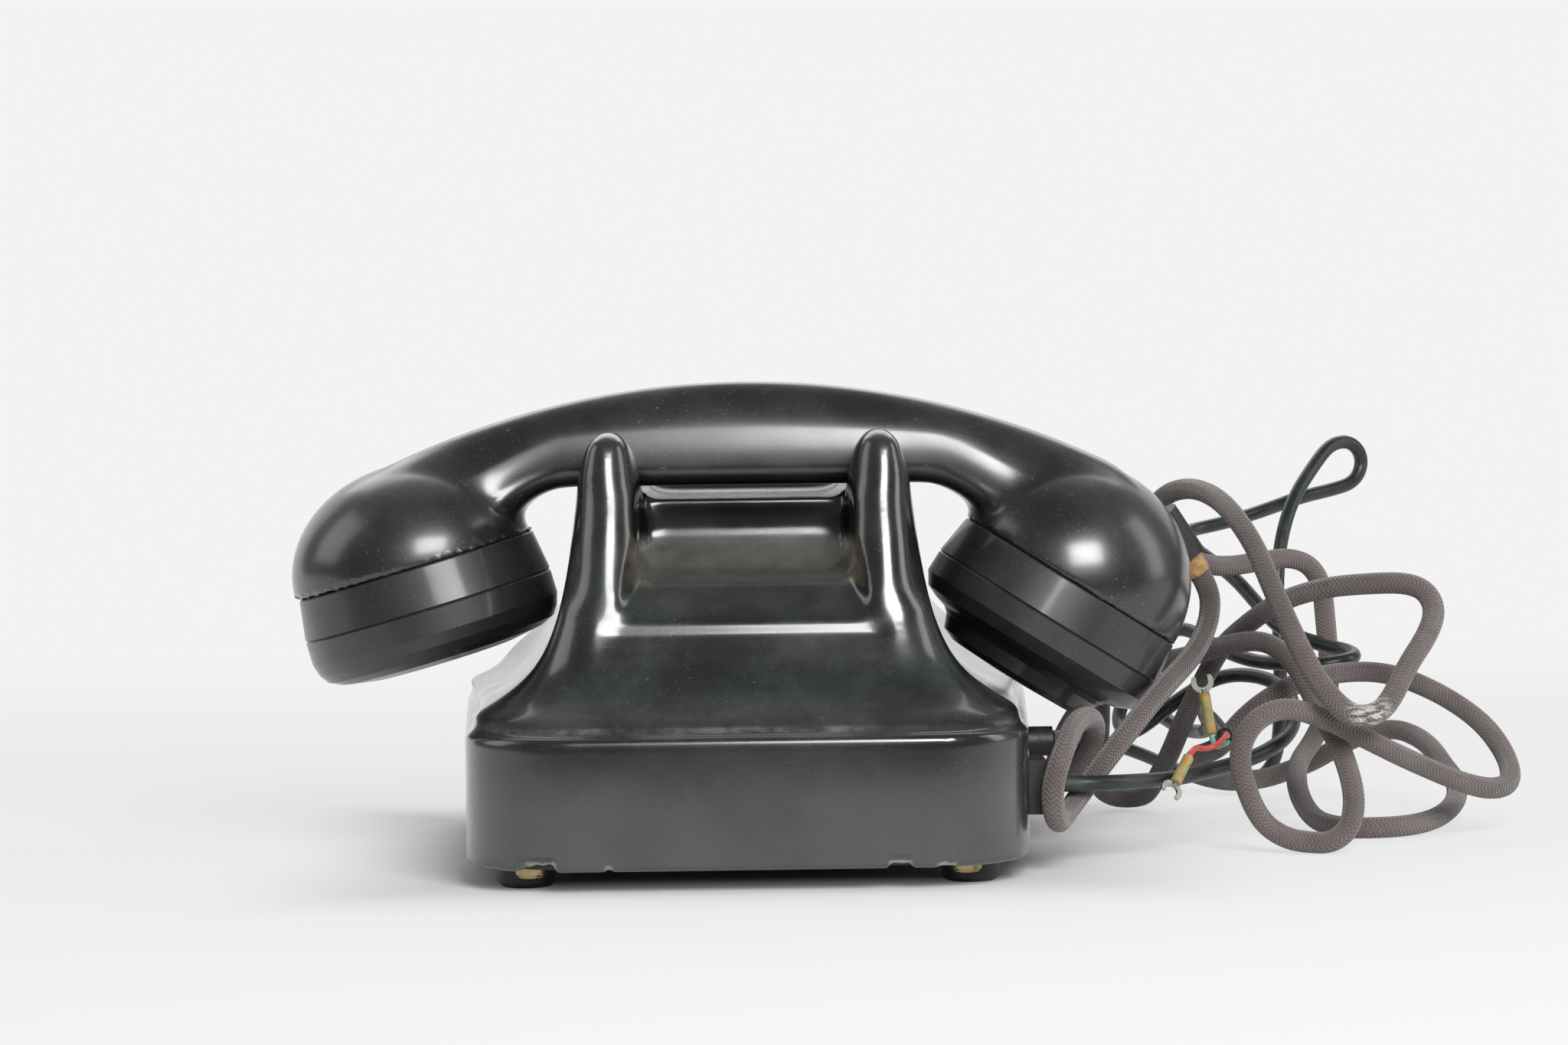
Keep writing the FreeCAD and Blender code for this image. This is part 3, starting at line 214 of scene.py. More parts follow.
def make_world():
    world = bpy.data.worlds.new("studio")
    scene.world = world
    world.use_nodes = True
    tree = world.node_tree
    tree.nodes.clear()
    out = tree.nodes.new("ShaderNodeOutputWorld")
    path = tree.nodes.new("ShaderNodeLightPath")
    seen = tree.nodes.new("ShaderNodeBackground")
    seen.inputs[0].default_value = colour(SEEN_WORLD)
    light = tree.nodes.new("ShaderNodeBackground")
    light.inputs[0].default_value = colour(WORLD_LIGHT)
    light.inputs[1].default_value = WORLD_STRENGTH
    mix = tree.nodes.new("ShaderNodeMixShader")
    tree.links.new(path.outputs["Is Camera Ray"], mix.inputs[0])
    tree.links.new(light.outputs[0], mix.inputs[1])
    tree.links.new(seen.outputs[0], mix.inputs[2])
    tree.links.new(mix.outputs[0], out.inputs[0])


def make_lamp(name, place, aim, width, height, power):
    data = bpy.data.lights.new(name, "AREA")
    data.shape = "RECTANGLE"
    data.size = width
    data.size_y = height
    data.energy = power
    lamp = bpy.data.objects.new(name, data)
    lamp.location = place
    lamp.rotation_euler = (Vector(aim) - Vector(place)).to_track_quat("-Z", "Y").to_euler()
    scene.collection.objects.link(lamp)


# Floor and backdrop: one sheet of pale paper, bent up beyond the telephone
SHEET_HALF_WIDTH, SHEET_NEAR, SHEET_BEND, SHEET_TOP = 3.0, 3.0, -1.6, 2.4
BEND_RADIUS, BEND_STEPS = 0.8, 12
PAPER_LOW, PAPER_HIGH, PAPER_ROUGHNESS = (0.80, 0.80, 0.81), (0.84, 0.84, 0.85), 0.75
PAPER_SEEN, PAPER_MIRRORED = (0.90, 0.895, 0.90), (1.0, 1.0, 1.0)
# Past this line the telephone doesn't see the paper, but the dark room round the camera
ROOM_START, ROOM_FULL, ROOM = 0.36, 0.37, (0.05, 0.05, 0.05)
# Half the sides of the telephone's footprint, where its shadow falls
SHADOW_X, SHADOW_Y = 0.098, 0.088


def sheet_profile():
    profile = [(SHEET_NEAR, 0.0)]
    for step in range(BEND_STEPS + 1):
        turn = math.radians(90 * step / BEND_STEPS)
        y = SHEET_BEND - BEND_RADIUS * math.sin(turn)
        profile.append((y, BEND_RADIUS - BEND_RADIUS * math.cos(turn)))
    profile.append((SHEET_BEND - BEND_RADIUS, SHEET_TOP))
    return profile


def backdrop_paper():
    """Paper that looks evenly bright, but for the shadow round the telephone."""
    paper = Shader("backdrop_paper")
    place = paper.position()
    x, y, _ = paper.split(place)
    path = paper.node("LightPath")
    seen, mirrored = path.outputs["Is Camera Ray"], path.outputs["Is Glossy Ray"]
    sheet = paper.math("MAXIMUM", paper.ramp(y, ROOM_START, ROOM_FULL, 1.0, 0.0), seen)
    white = paper.mix(paper.noise(place, 3.0), PAPER_LOW, PAPER_HIGH)
    paper.set(Base_Color=paper.mix(sheet, ROOM, white), Roughness=PAPER_ROUGHNESS)
    glow = paper.node("Emission")
    bright = paper.mix(mirrored, PAPER_SEEN, PAPER_MIRRORED)
    paper.put(glow.inputs[0], paper.mix(sheet, ROOM, bright))
    gap = paper.math(
        "MAXIMUM",
        paper.math("SUBTRACT", paper.math("ABSOLUTE", x), SHADOW_X),
        paper.math("SUBTRACT", paper.math("ABSOLUTE", y), SHADOW_Y),
    )
    near = paper.ramp(gap, -0.03, 0.04, 0.0, 0.72)
    far = paper.ramp(gap, 0.04, 0.7, 0.0, 0.28)
    shown = paper.times(paper.math("ADD", near, far), seen)
    reflected = paper.times(paper.ramp(gap, -0.03, 0.08), mirrored)
    blend = paper.node("MixShader")
    paper.put(blend.inputs[0], paper.math("ADD", shown, reflected, clamp=True))
    paper.put(blend.inputs[1], paper.surface.outputs[0])
    paper.put(blend.inputs[2], glow.outputs[0])
    paper.put(paper.out.inputs[0], blend.outputs[0])
    return paper


def make_stage():
    points = [(x, y, z) for y, z in sheet_profile() for x in (-SHEET_HALF_WIDTH, SHEET_HALF_WIDTH)]
    faces = [(i, i + 1, i + 3, i + 2) for i in range(0, len(points) - 2, 2)]
    mesh = bpy.data.meshes.new("backdrop")
    mesh.from_pydata(points, [], faces)
    mesh.shade_smooth()
    mesh.materials.append(backdrop_paper().material)
    backdrop = bpy.data.objects.new("backdrop", mesh)
    scene.collection.objects.link(backdrop)


# Cord geometry
def route_line(name, points):
    """Points a short step apart on the smooth line that a route's control points give."""
    data = bpy.data.curves.new(name, "CURVE")
    data.dimensions = "3D"
    data.resolution_u = 24
    spline = data.splines.new("NURBS")
    spline.points.add(len(points) - 1)
    for point, place in zip(spline.points, points):
        point.co = (*[value * MM for value in place], 1)
    spline.order_u = 3
    spline.use_endpoint_u = True
    curve = bpy.data.objects.new(name, data)
    scene.collection.objects.link(curve)
    bpy.context.view_layer.update()
    evaluated = curve.evaluated_get(bpy.context.evaluated_depsgraph_get())
    mesh = bpy.data.meshes.new_from_object(evaluated)
    line = [vertex.co.copy() for vertex in mesh.vertices]
    bpy.data.objects.remove(curve)
    bpy.data.meshes.remove(mesh)
    return line


def even_steps(line, step):
    """The same line with points that are a fixed step apart."""
    lengths = [0.0]
    for start, end in zip(line, line[1:]):
        lengths.append(lengths[-1] + (end - start).length)
    count = max(2, round(lengths[-1] / step))
    out = []
    piece = 0
    for index in range(count + 1):
        target = lengths[-1] * index / count
        while piece < len(line) - 2 and lengths[piece + 1] < target:
            piece += 1
        span = lengths[piece + 1] - lengths[piece]
        share = (target - lengths[piece]) / span if span > 0 else 0
        out.append(line[piece].lerp(line[piece + 1], share))
    return out


def carried_frames(line):
    """A side vector at each point, carried along without twist."""
    ways = []
    for index in range(len(line)):
        start = line[max(index - 1, 0)]
        end = line[min(index + 1, len(line) - 1)]
        ways.append((end - start).normalized())
    side = ways[0].orthogonal().normalized()
    sides = [side]
    for before, after in zip(ways, ways[1:]):
        side = before.rotation_difference(after) @ side
        side = (side - after * side.dot(after)).normalized()
        sides.append(side)
    return ways, sides


def swept_tube(name, line, sides_count, radius_at):
    """A tube round a line. UV holds the length in centimetres and the share of a turn."""
    ways, sides = carried_frames(line)
    mesh = bpy.data.meshes.new(name)
    build = bmesh.new()
    uv = build.loops.layers.uv.new("route")
    rings = []
    for index, (place, way, side) in enumerate(zip(line, ways, sides)):
        other = way.cross(side)
        ring = []
        for turn in range(sides_count):
            angle = 2 * math.pi * turn / sides_count
            out = side * math.cos(angle) + other * math.sin(angle)
            ring.append(build.verts.new(place + out * radius_at(index, turn / sides_count)))
        rings.append(ring)
    step = (line[1] - line[0]).length
    for index in range(len(rings) - 1):
        for turn in range(sides_count):
            after = (turn + 1) % sides_count
            here, ahead = rings[index], rings[index + 1]
            face = build.faces.new((here[turn], here[after], ahead[after], ahead[turn]))
            face.smooth = True
            corners = ((0, 0), (0, 1), (1, 1), (1, 0))
            for loop, (along, around) in zip(face.loops, corners):
                loop[uv].uv = ((index + along) * step * 100, (turn + around) / sides_count)
    build.faces.new(rings[0][::-1])
    build.faces.new(rings[-1])
    bmesh.ops.recalc_face_normals(build, faces=build.faces)
    build.to_mesh(mesh)
    build.free()
    piece = bpy.data.objects.new(name, mesh)
    scene.collection.objects.link(piece)
    return piece


# Chips along the skirt's rear edge: start, end and depth of each in millimetres
CHIPS = ((47, 58, 1.5), (33, 36, 0.6), (-41, -34, 1.1), (-52, -46, 0.4))


# Materials. Sizes are in metres, and noise scales per metre.
DUST, DIRT, SCRATCHED = (0.27, 0.26, 0.235), (0.36, 0.34, 0.30), (0.25, 0.25, 0.24)


def bakelite(name, tint, film_tint, gloss, coat_gloss, film, dust, coat=0.65):
    """Aged bakelite: a hazy shine under a clearer one, a cloudy film, dust, lint and hairlines."""
    s = Shader(name)
    place = s.object_point()
    clouds = s.noise(place, 42, 7, 0.62)
    fine = s.noise(place, 700, 3, 0.7)
    facing_up = s.ramp(s.normal_up(), -0.3, 0.9, 0.35, 1.0)
    cloudy = s.times(s.ramp(clouds, 0.36, 0.70), s.ramp(fine, 0.3, 0.7, 0.5, 1.0), facing_up, film)
    specks = s.times(
        s.ramp(s.noise(place, 1300, 2, 0.9), 0.65, 0.74),
        s.ramp(s.noise(place, 60, 3), 0.4, 0.65, 0.25, 1.0),
    )
    lint = s.away(s.noise(place, 420, 2, 0.4, stretch=(0.5, 1.0, 3.2)), 0.5)
    lint = s.times(s.ramp(lint, 0.0, 0.004, 1.0, 0.0), s.ramp(s.noise(place, 150, 2), 0.60, 0.66))
    hairlines = s.away(s.noise(place, 130, 2, 0.3, stretch=(0.3, 1.0, 5.0)), 0.5)
    scratched = s.ramp(s.noise(place, 20, 2), 0.52, 0.64)
    hairlines = s.times(s.ramp(hairlines, 0.0, 0.005, 1.0, 0.0), scratched)
    dirt = s.math("ADD", specks, lint, clamp=True)
    settled = s.times(
        s.ramp(s.normal_up(), 0.66, 0.98),
        s.ramp(s.noise(place, 85, 6, 0.7), 0.3, 0.72, 0.3, 1.0),
    )
    base = s.mix(cloudy, tint, film_tint)
    base = s.mix(s.times(settled, 0.32 * dust), base, DUST)
    base = s.mix(s.times(dirt, dust), base, DIRT)
    s.base = s.mix(s.times(hairlines, 0.04), base, SCRATCHED)
    s.set(Base_Color=s.base)
    rough = s.ramp(clouds, 0.3, 0.72, gloss, gloss + 0.12)
    rough = s.math("ADD", rough, s.times(dirt, 0.3 * dust))
    rough = s.math("ADD", rough, s.times(settled, 0.12))
    s.rough = s.math("ADD", rough, s.times(hairlines, 0.05), clamp=True)
    s.set(Roughness=s.rough, IOR=1.62)
    s.set(Coat_Weight=coat, Coat_Roughness=coat_gloss, Coat_IOR=1.5)
    relief = s.bump(s.noise(place, 26, 2, 0.4), 0.0004, 0.2)
    fine_relief = s.math("SUBTRACT", s.times(fine, 0.5), s.times(hairlines, 0.25))
    s.set(Normal=s.bump(fine_relief, 0.00002, 0.5, relief))
    return s


LEDGE_Z = 0.0402
# The first colour here is not wear but a painted reflection of the floor, which lightens the skirt
# towards its bottom.
PAINTED_FLOOR_SHEEN, LEDGE_DIRT, CORNER_DIRT = (0.070, 0.074, 0.072), (0.24, 0.22, 0.18), (0.17, 0.125, 0.06)
# The second colour here is painted shade: near black for the upper inner wall of the recess, under
# the handset.
RECESS_DUST, RECESS_PAINTED_SHADE = (0.100, 0.097, 0.086), (0.0035, 0.0038, 0.0038)
FRACTURE = (0.30, 0.31, 0.25)


def chip_share(s, place, start, end, depth):
    """Where the pale fracture of one chip shows."""
    x, y, z = s.split(place)
    off = s.away(x, (start + end) / 2 * MM)
    half = (end - start) / 2 * MM
    share = s.times(s.ramp(off, half - 0.0015, half, 1.0, 0.0), s.ramp(y, 0.0865, 0.0880))
    edge = s.math("ADD", z, s.times(s.noise(place, 500, 3), 0.0016))
    return s.times(share, s.ramp(edge, 0.0072 + depth * MM, 0.0079 + depth * MM, 1.0, 0.0))


def housing_marks(s):
    """A painted reflection of the floor on the lower skirt, dirt in the ledge and the recess, pale
    fractures at the chips, and painted shade on the upper inner wall of the recess.
    """
    place = s.object_point()
    x, y, z = s.split(place)
    side = s.math("ABSOLUTE", x)
    patches = s.ramp(s.noise(place, 130, 5, 0.65), 0.36, 0.66)
    # Painted reflection of the floor: the skirt grows lighter, in patches, below 36 mm and fully
    # below 20 mm.
    sheen_patches = s.ramp(s.noise(place, 30, 6, 0.6), 0.3, 0.6, 0.5, 1.0)
    floor_sheen = s.times(s.ramp(z, 0.020, 0.036, 1.0, 0.0), sheen_patches)
    base = s.mix(s.times(floor_sheen, 0.45), s.base, PAINTED_FLOOR_SHEEN)
    ledge = s.ramp(s.away(z, LEDGE_Z), 0.0002, 0.0011, 1.0, 0.0)
    ledge = s.times(ledge, s.ramp(s.noise(place, 40, 4), 0.35, 0.6, 0.10, 0.60))
    base = s.mix(s.times(ledge, patches), base, LEDGE_DIRT)
    corner = s.span(side, 0.0215, 0.0265, 0.029, 0.0315)
    corner = s.times(corner, s.span(z, 0.072, 0.078, 0.084, 0.096), patches, 0.6)
    base = s.mix(corner, base, CORNER_DIRT)
    for chip in CHIPS:
        base = s.mix(s.times(chip_share(s, place, *chip), 0.8), base, FRACTURE)
    inside = s.times(s.ramp(side, 0.0275, 0.0300, 1.0, 0.0), s.ramp(y, 0.058, 0.053, 0.0, 1.0))
    dusty = s.span(z, 0.0735, 0.0760, 0.0840, 0.0895)
    dusty = s.times(dusty, s.ramp(s.noise(place, 100, 6, 0.7), 0.25, 0.7, 0.35, 0.9))
    base = s.mix(s.times(inside, dusty), base, RECESS_DUST)
    # Painted shade: the upper inner wall of the recess is made near black, a little smoother and
    # without coat.
    painted_shade = s.times(inside, s.span(z, 0.0840, 0.0885, 0.1000, 0.1015))
    s.set(Base_Color=s.mix(painted_shade, base, RECESS_PAINTED_SHADE))
    s.set(Roughness=s.math("SUBTRACT", s.rough, s.times(painted_shade, 0.10), clamp=True))
    s.set(Coat_Weight=s.ramp(painted_shade, 0.0, 1.0, 0.65, 0.0))
    return s


def rubber(name, tint, chalk, rough=0.6):
    s = Shader(name)
    place = s.object_point()
    worn = s.ramp(s.noise(place, 120, 6, 0.65), 0.45, 0.75)
    grain = s.noise(place, 1600, 3, 0.6)
    s.set(Base_Color=s.mix(s.times(worn, 0.5), tint, chalk))
    s.set(Roughness=s.ramp(worn, 0, 1, rough - 0.15, rough + 0.15))
    s.set(Normal=s.bump(grain, 0.00005, 0.5))
    return s


def metal(name, tint, rough=0.35, stain=(0.12, 0.10, 0.07), stained=0.4, brushed=(1, 1, 8)):
    s = Shader(name)
    place = s.object_point()
    spots = s.ramp(s.noise(place, 260, 5, 0.65), 0.48, 0.72)
    lines = s.noise(place, 900, 3, 0.6, stretch=brushed)
    brushing = s.ramp(lines, 0.3, 0.7, rough - 0.08, rough + 0.08)
    s.set(Base_Color=s.mix(s.times(spots, stained), tint, stain), Metallic=1.0)
    s.set(Roughness=s.math("ADD", brushing, s.times(spots, 0.2)))
    s.set(Normal=s.bump(lines, 0.00002, 0.4))
    return s


def painted(name, tint, worn_tint, rough=0.4, worn=0.3):
    s = Shader(name)
    place = s.object_point()
    chips = s.ramp(s.noise(place, 180, 6, 0.6), 0.58, 0.70)
    grain = s.noise(place, 1200, 2, 0.5)
    s.set(Base_Color=s.mix(s.times(chips, worn), tint, worn_tint))
    s.set(Roughness=s.ramp(grain, 0.3, 0.7, rough - 0.06, rough + 0.1))
    s.set(Normal=s.bump(grain, 0.00003, 0.4))
    return s


# Rows of the braid in a centimetre of cord, and yarns round it
BRAID_ROWS, BRAID_YARNS = 9.0, 12.0
# Where the braid is worn to its pale threads: the middle, the bare core and where the wear ends
WORN_SPOT, WORN_CORE, WORN_REACH = (-163, 33, 38), 0.0025, 0.0075
YARN_DARK, YARN_LIGHT = (0.125, 0.100, 0.094), (0.205, 0.168, 0.156)
YARN_GAP, YARN_FIBRE, YARN_GRIME = (0.050, 0.038, 0.035), (0.30, 0.27, 0.26), (0.05, 0.04, 0.036)
YARN_HANDLED, YARN_BARE = (0.042, 0.033, 0.030), (0.56, 0.54, 0.50)


def herringbone(s, length, turn):
    """The height of the weave, from -1 to 1, at a length along the cord and a share of a turn."""
    along = s.times(length, BRAID_ROWS)
    around = s.times(turn, BRAID_YARNS)
    first = s.math("SINE", s.times(s.math("ADD", along, around), 2 * math.pi))
    second = s.math("SINE", s.times(s.math("SUBTRACT", along, around), 2 * math.pi))
    over = s.ramp(s.math("SINE", s.times(around, math.pi)), -0.2, 0.2)
    return s.math("ADD", s.times(first, over), s.times(second, s.math("SUBTRACT", 1.0, over)))


def braid():
    """Cotton braid in a grey-brown herringbone, darker where it leaves the handset."""
    s = Shader("cotton_braid")
    length, turn, _ = s.split(s.uv())
    weave = herringbone(s, length, turn)
    place = s.object_point()
    fibres = s.noise(place, 2600, 3, 0.7)
    faded = s.ramp(s.noise(place, 26, 4, 0.6), 0.35, 0.65)
    grime = s.ramp(s.noise(place, 90, 5, 0.7), 0.5, 0.72)
    yarn = s.mix(faded, YARN_DARK, YARN_LIGHT)
    yarn = s.mix(s.ramp(weave, -0.9, 0.9, 0.50, 0.0), yarn, YARN_GAP)
    yarn = s.mix(s.ramp(fibres, 0.55, 0.8, 0.0, 0.35), yarn, YARN_FIBRE)
    yarn = s.mix(s.times(grime, 0.35), yarn, YARN_GRIME)
    yarn = s.mix(s.ramp(length, 2.0, 11.0, 0.45, 0.0), yarn, YARN_HANDLED)
    away = s.node("VectorMath")
    away.operation = "DISTANCE"
    s.put(away.inputs[0], place)
    away.inputs[1].default_value = mm(*WORN_SPOT)
    bare = s.ramp(away.outputs["Value"], WORN_CORE, WORN_REACH, 1.0, 0.0)
    threads = s.ramp(s.noise(place, 1100, 3, 0.6, stretch=(0.25, 1.0, 1.0)), 0.42, 0.60)
    yarn = s.mix(s.times(bare, threads), yarn, YARN_BARE)
    s.set(Base_Color=yarn, Roughness=0.92, Sheen_Weight=0.35, Sheen_Roughness=0.5)
    height = s.math("ADD", s.times(weave, 0.7), s.times(fibres, 0.6))
    s.set(Normal=s.bump(height, 0.00022, 0.8))
    return s


def wound_thread():
    s = Shader("wound_thread")
    place = s.object_point()
    tone = s.ramp(s.noise(place, 500, 4, 0.7), 0.3, 0.7)
    s.set(Base_Color=s.mix(tone, (0.30, 0.155, 0.045), (0.52, 0.33, 0.13)))
    s.set(Roughness=0.75, Sheen_Weight=0.3, Sheen_Roughness=0.5)
    s.set(Normal=s.bump(s.noise(place, 2500, 3), 0.0001, 0.6))
    return s


def varnished():
    s = Shader("varnished_sleeve")
    place = s.object_point()
    tone = s.noise(place, 300, 5, 0.65)
    green = s.ramp(s.noise(place, 180, 3), 0.5, 0.62)
    amber = s.mix(s.ramp(tone, 0.3, 0.7), (0.36, 0.20, 0.05), (0.55, 0.36, 0.13))
    s.set(Base_Color=s.mix(s.times(green, 0.6), amber, (0.22, 0.27, 0.14)))
    s.set(Roughness=s.ramp(tone, 0.3, 0.7, 0.2, 0.4), Subsurface_Weight=0.2)
    s.set(Subsurface_Radius=(0.001, 0.0006, 0.0003))
    s.set(Normal=s.bump(tone, 0.0001, 0.5))
    return s


def make_materials():
    return {
        "bakelite": bakelite(
            "moulded_bakelite", (0.0055, 0.0070, 0.0075), (0.044, 0.052, 0.055),
            gloss=0.21, coat_gloss=0.12, film=0.55, dust=0.42,
        ),
        "grip_bakelite": bakelite(
            "handled_bakelite", (0.0070, 0.0070, 0.0062), (0.048, 0.045, 0.038),
            gloss=0.28, coat_gloss=0.19, film=0.45, dust=0.65,
        ),
        "cap_bakelite": bakelite(
            "polished_bakelite", (0.0050, 0.0062, 0.0066), (0.034, 0.039, 0.039),
            gloss=0.42, coat_gloss=0.15, film=0.40, dust=0.35, coat=0.45,
        ),
        "bell_metal": metal("bell_nickel", (0.62, 0.60, 0.55), 0.22),
        "braid": braid(),
        "brass": metal("dull_brass", (0.55, 0.42, 0.20), 0.32, (0.25, 0.22, 0.12)),
        "capacitor_can": metal("capacitor_aluminium", (0.58, 0.58, 0.57), 0.4),
        "chrome": metal("worn_chrome", (0.66, 0.66, 0.65), 0.14, stained=0.25),
        "coil_wire": metal(
            "copper_winding", (0.50, 0.19, 0.08), 0.35, (0.25, 0.09, 0.04), brushed=(30, 1, 1),
        ),
        "dark_plate": painted("black_enamel", (0.022, 0.022, 0.024), (0.18, 0.16, 0.14)),
        "green_insulation": rubber("green_insulation", (0.16, 0.46, 0.34), (0.40, 0.62, 0.50)),
        "lug_metal": metal("tarnished_lug", (0.40, 0.42, 0.35), 0.36, (0.20, 0.25, 0.17), 0.6),
        "line_rubber": rubber("line_cord_rubber", (0.013, 0.018, 0.016), (0.07, 0.085, 0.075), 0.5),
        "moulded_insulation": painted(
            "moulded_insulation", (0.022, 0.020, 0.018), (0.09, 0.08, 0.07), 0.5,
        ),
        "number_enamel": painted("cream_enamel", (0.66, 0.62, 0.50), (0.34, 0.28, 0.18), 0.3, 0.25),
        "red_insulation": rubber("red_insulation", (0.66, 0.045, 0.035), (0.74, 0.20, 0.14), 0.45),
        "rubber": rubber("foot_rubber", (0.014, 0.014, 0.013), (0.055, 0.05, 0.045)),
        "spring_steel": metal("spring_steel", (0.42, 0.42, 0.43), 0.3),
        "steel": metal("dull_steel", (0.45, 0.44, 0.42), 0.42, (0.20, 0.12, 0.06)),
        "varnished_sleeve": varnished(),
        "whipping": wound_thread(),
        "zinc_screw": metal("yellow_zinc", (0.42, 0.33, 0.17), 0.30, (0.12, 0.09, 0.05), 0.6),
    }


def dress(piece, shader):
    piece.data.materials.clear()
    piece.data.materials.append(shader.material)


# Moulded forms: fine remeshed copies of CAD solids, worked on in millimetres
REMESH_VOXEL = 0.0008


def unit(*vector):
    return np.array(vector) / np.linalg.norm(vector)


def step_share(values, low, high):
    """0 below the low limit and 1 above the high one, with a soft step between them."""
    share = np.clip((values - low) / (high - low), 0, 1)
    return share * share * (3 - 2 * share)


def span_share(values, low, low_full, high_full, high):
    """1 between the two full limits, and 0 outside the outer ones."""
    return step_share(values, low, low_full) * (1 - step_share(values, high_full, high))


class Form:
    """A node's remeshed copy, whose points are moved and then written back."""

    def __init__(self, name, node):
        self.copy = bpy.data.objects.new(name, nodes[node].data.copy())
        scene.collection.objects.link(self.copy)
        remesh = self.copy.modifiers.new("remesh", "REMESH")
        remesh.mode = "VOXEL"
        remesh.voxel_size = REMESH_VOXEL
        bpy.context.view_layer.update()
        graph = bpy.context.evaluated_depsgraph_get()
        self.mesh = bpy.data.meshes.new_from_object(self.copy.evaluated_get(graph))
        self.copy.modifiers.clear()
        self.copy.data = self.mesh
        edges = np.zeros(len(self.mesh.edges) * 2, np.int64)
        self.mesh.edges.foreach_get("vertices", edges)
        self.edges = edges.reshape(-1, 2)
        self.points = self.read("co") / MM
        counts = np.bincount(self.edges.ravel(), minlength=len(self.points))
        self.counts = np.maximum(counts, 1)[:, None]

    def read(self, what):
        values = np.zeros(len(self.mesh.vertices) * 3)
        self.mesh.vertices.foreach_get(what, values)
        return values.reshape(-1, 3)

    def write(self):
        self.mesh.vertices.foreach_set("co", (self.points * MM).ravel())
        self.mesh.update()

    def normals(self):
        self.write()
        return self.read("normal")

    def smooth(self, rounds, share=1.0):
        """Draw each point towards the middle of its neighbours, as far as share says."""
        for _ in range(rounds):
            total = np.zeros_like(self.points)
            for axis in range(3):
                for one, other in ((0, 1), (1, 0)):
                    values = self.points[self.edges[:, other], axis]
                    total[:, axis] += np.bincount(self.edges[:, one], values, len(self.points))
            self.points += share * 0.5 * (total / self.counts - self.points)

    def polish(self, rounds):
        """Smooth away the steps of the remesh and keep the form."""
        for _ in range(rounds):
            self.smooth(1)
            self.smooth(1, -1.06)

    def finish(self, shader, group):
        self.write()
        self.mesh.shade_smooth()
        dress(self.copy, shader)
        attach(self.copy, group)
        return self.copy


# Handset: a grip with an arched section that flows into the two domes
HANDSET_Y = 14.0
GRIP_LOW, GRIP_HIGH, GRIP_ARC = 99.3, 126.5, 220.0
# The sides lean in above the widest height: more and more over the bend, then evenly to the end
GRIP_WIDEST, GRIP_BEND, GRIP_LEAN, LEAN_END = 4.0, 11.0, 0.30, 26
# Between these distances from the middle, the lower edge drops and the grip swells
SWELL_START, SWELL_END = 48, 84
GRIP_DROP, GRIP_HALF, GRIP_SWELL = 15.3, 12.6, 2.7
# Where the top starts to fall away from its arc, and where the grip ends inside a dome
TOP_FALL_START, TOP_FALL, GRIP_END = 95, 0.03, 104
# The round of the upper edges, at most a share of the grip's height, and of the lower ones
TOP_RADIUS, TOP_SHARE, LOW_RADIUS = 12.3, 0.45, 5.0
# The centre, the axis and the height of each dome
DOMES = (
    (np.array([88.3, HANDSET_Y, 78.8]), unit(0.275, 0, 0.961), 27.0),
    (np.array([-86.5, HANDSET_Y, 72.2]), unit(-0.536, 0, 0.845), 32.3),
)
DOME_RADIUS = 32.3
# The blend of grip and domes: its width below, how much it grows above, and between which heights
BLEND_LOW, BLEND_GROWTH, BLEND_HEIGHTS = 5, 40, (88, 124)
# The bore for the wires as (x, z), and where the collar that holds the cord starts and points
WIRE_BORE = ((-81.9, 90.0), (-58.5, 110.0), (58.5, 110.0), (84.9, 92.0))
COLLAR_PLACE, COLLAR_WAY = (-119.25, 5.25, 77.89), unit(-3.03, -0.83, -4.51)
# The walls of the bore and the collar's hole lie within these distances of their lines
BORE_REACH, COLLAR_REACH, COLLAR_AREA = 4.2, 7.6, 16
# How deep below the forms a point may lie that still belongs to the outer skin
SKIN, COLLAR_SKIN = 1.9, 6


def grip_field(points):
    """Distance to the grip, and its direction."""
    x, y, z = points[:, 0], points[:, 1] - HANDSET_Y, points[:, 2]
    reach = np.abs(x)
    end = step_share(reach, SWELL_START, SWELL_END)
    low = GRIP_LOW - GRIP_DROP * end
    rise = np.sqrt(GRIP_ARC ** 2 - x ** 2)
    beyond = np.maximum(reach - TOP_FALL_START, 0)
    high = GRIP_HIGH - GRIP_ARC + rise - TOP_FALL * beyond ** 2
    half = GRIP_HALF + GRIP_SWELL * end
    above = np.clip(z - low - GRIP_WIDEST, 0, LEAN_END)
    bend = np.minimum(above, GRIP_BEND)
    slope = GRIP_LEAN * bend / GRIP_BEND
    lean = 1 / (1 - (slope * bend / 2 + GRIP_LEAN * (above - bend)) / half)
    y = y * lean
    middle = (low + high) / 2
    upper = z > middle
    radius = np.where(upper, np.minimum(TOP_RADIUS, TOP_SHARE * (high - low)), LOW_RADIUS)
    over_y = np.abs(y) - half + radius
    over_z = np.abs(z - middle) - (high - low) / 2 + radius
    out_y, out_z = np.maximum(over_y, 0), np.maximum(over_z, 0)
    outside = np.hypot(out_y, out_z)
    distance = outside + np.minimum(np.maximum(over_y, over_z), 0) - radius
    corner = outside > 1e-6
    safe = np.maximum(outside, 1e-6)
    way_y = np.where(corner, out_y / safe, over_y > over_z) * np.sign(y)
    way_z = np.where(corner, out_z / safe, over_z >= over_y) * np.sign(z - middle)
    way_x = np.where(upper, way_z * (x / rise + 2 * TOP_FALL * beyond * np.sign(x)), 0)
    way_z = way_z + way_y * y * lean * slope / half
    way = np.stack([way_x, way_y * lean, way_z], 1)
    size = np.linalg.norm(way, axis=1)
    return distance / size, way / size[:, None]


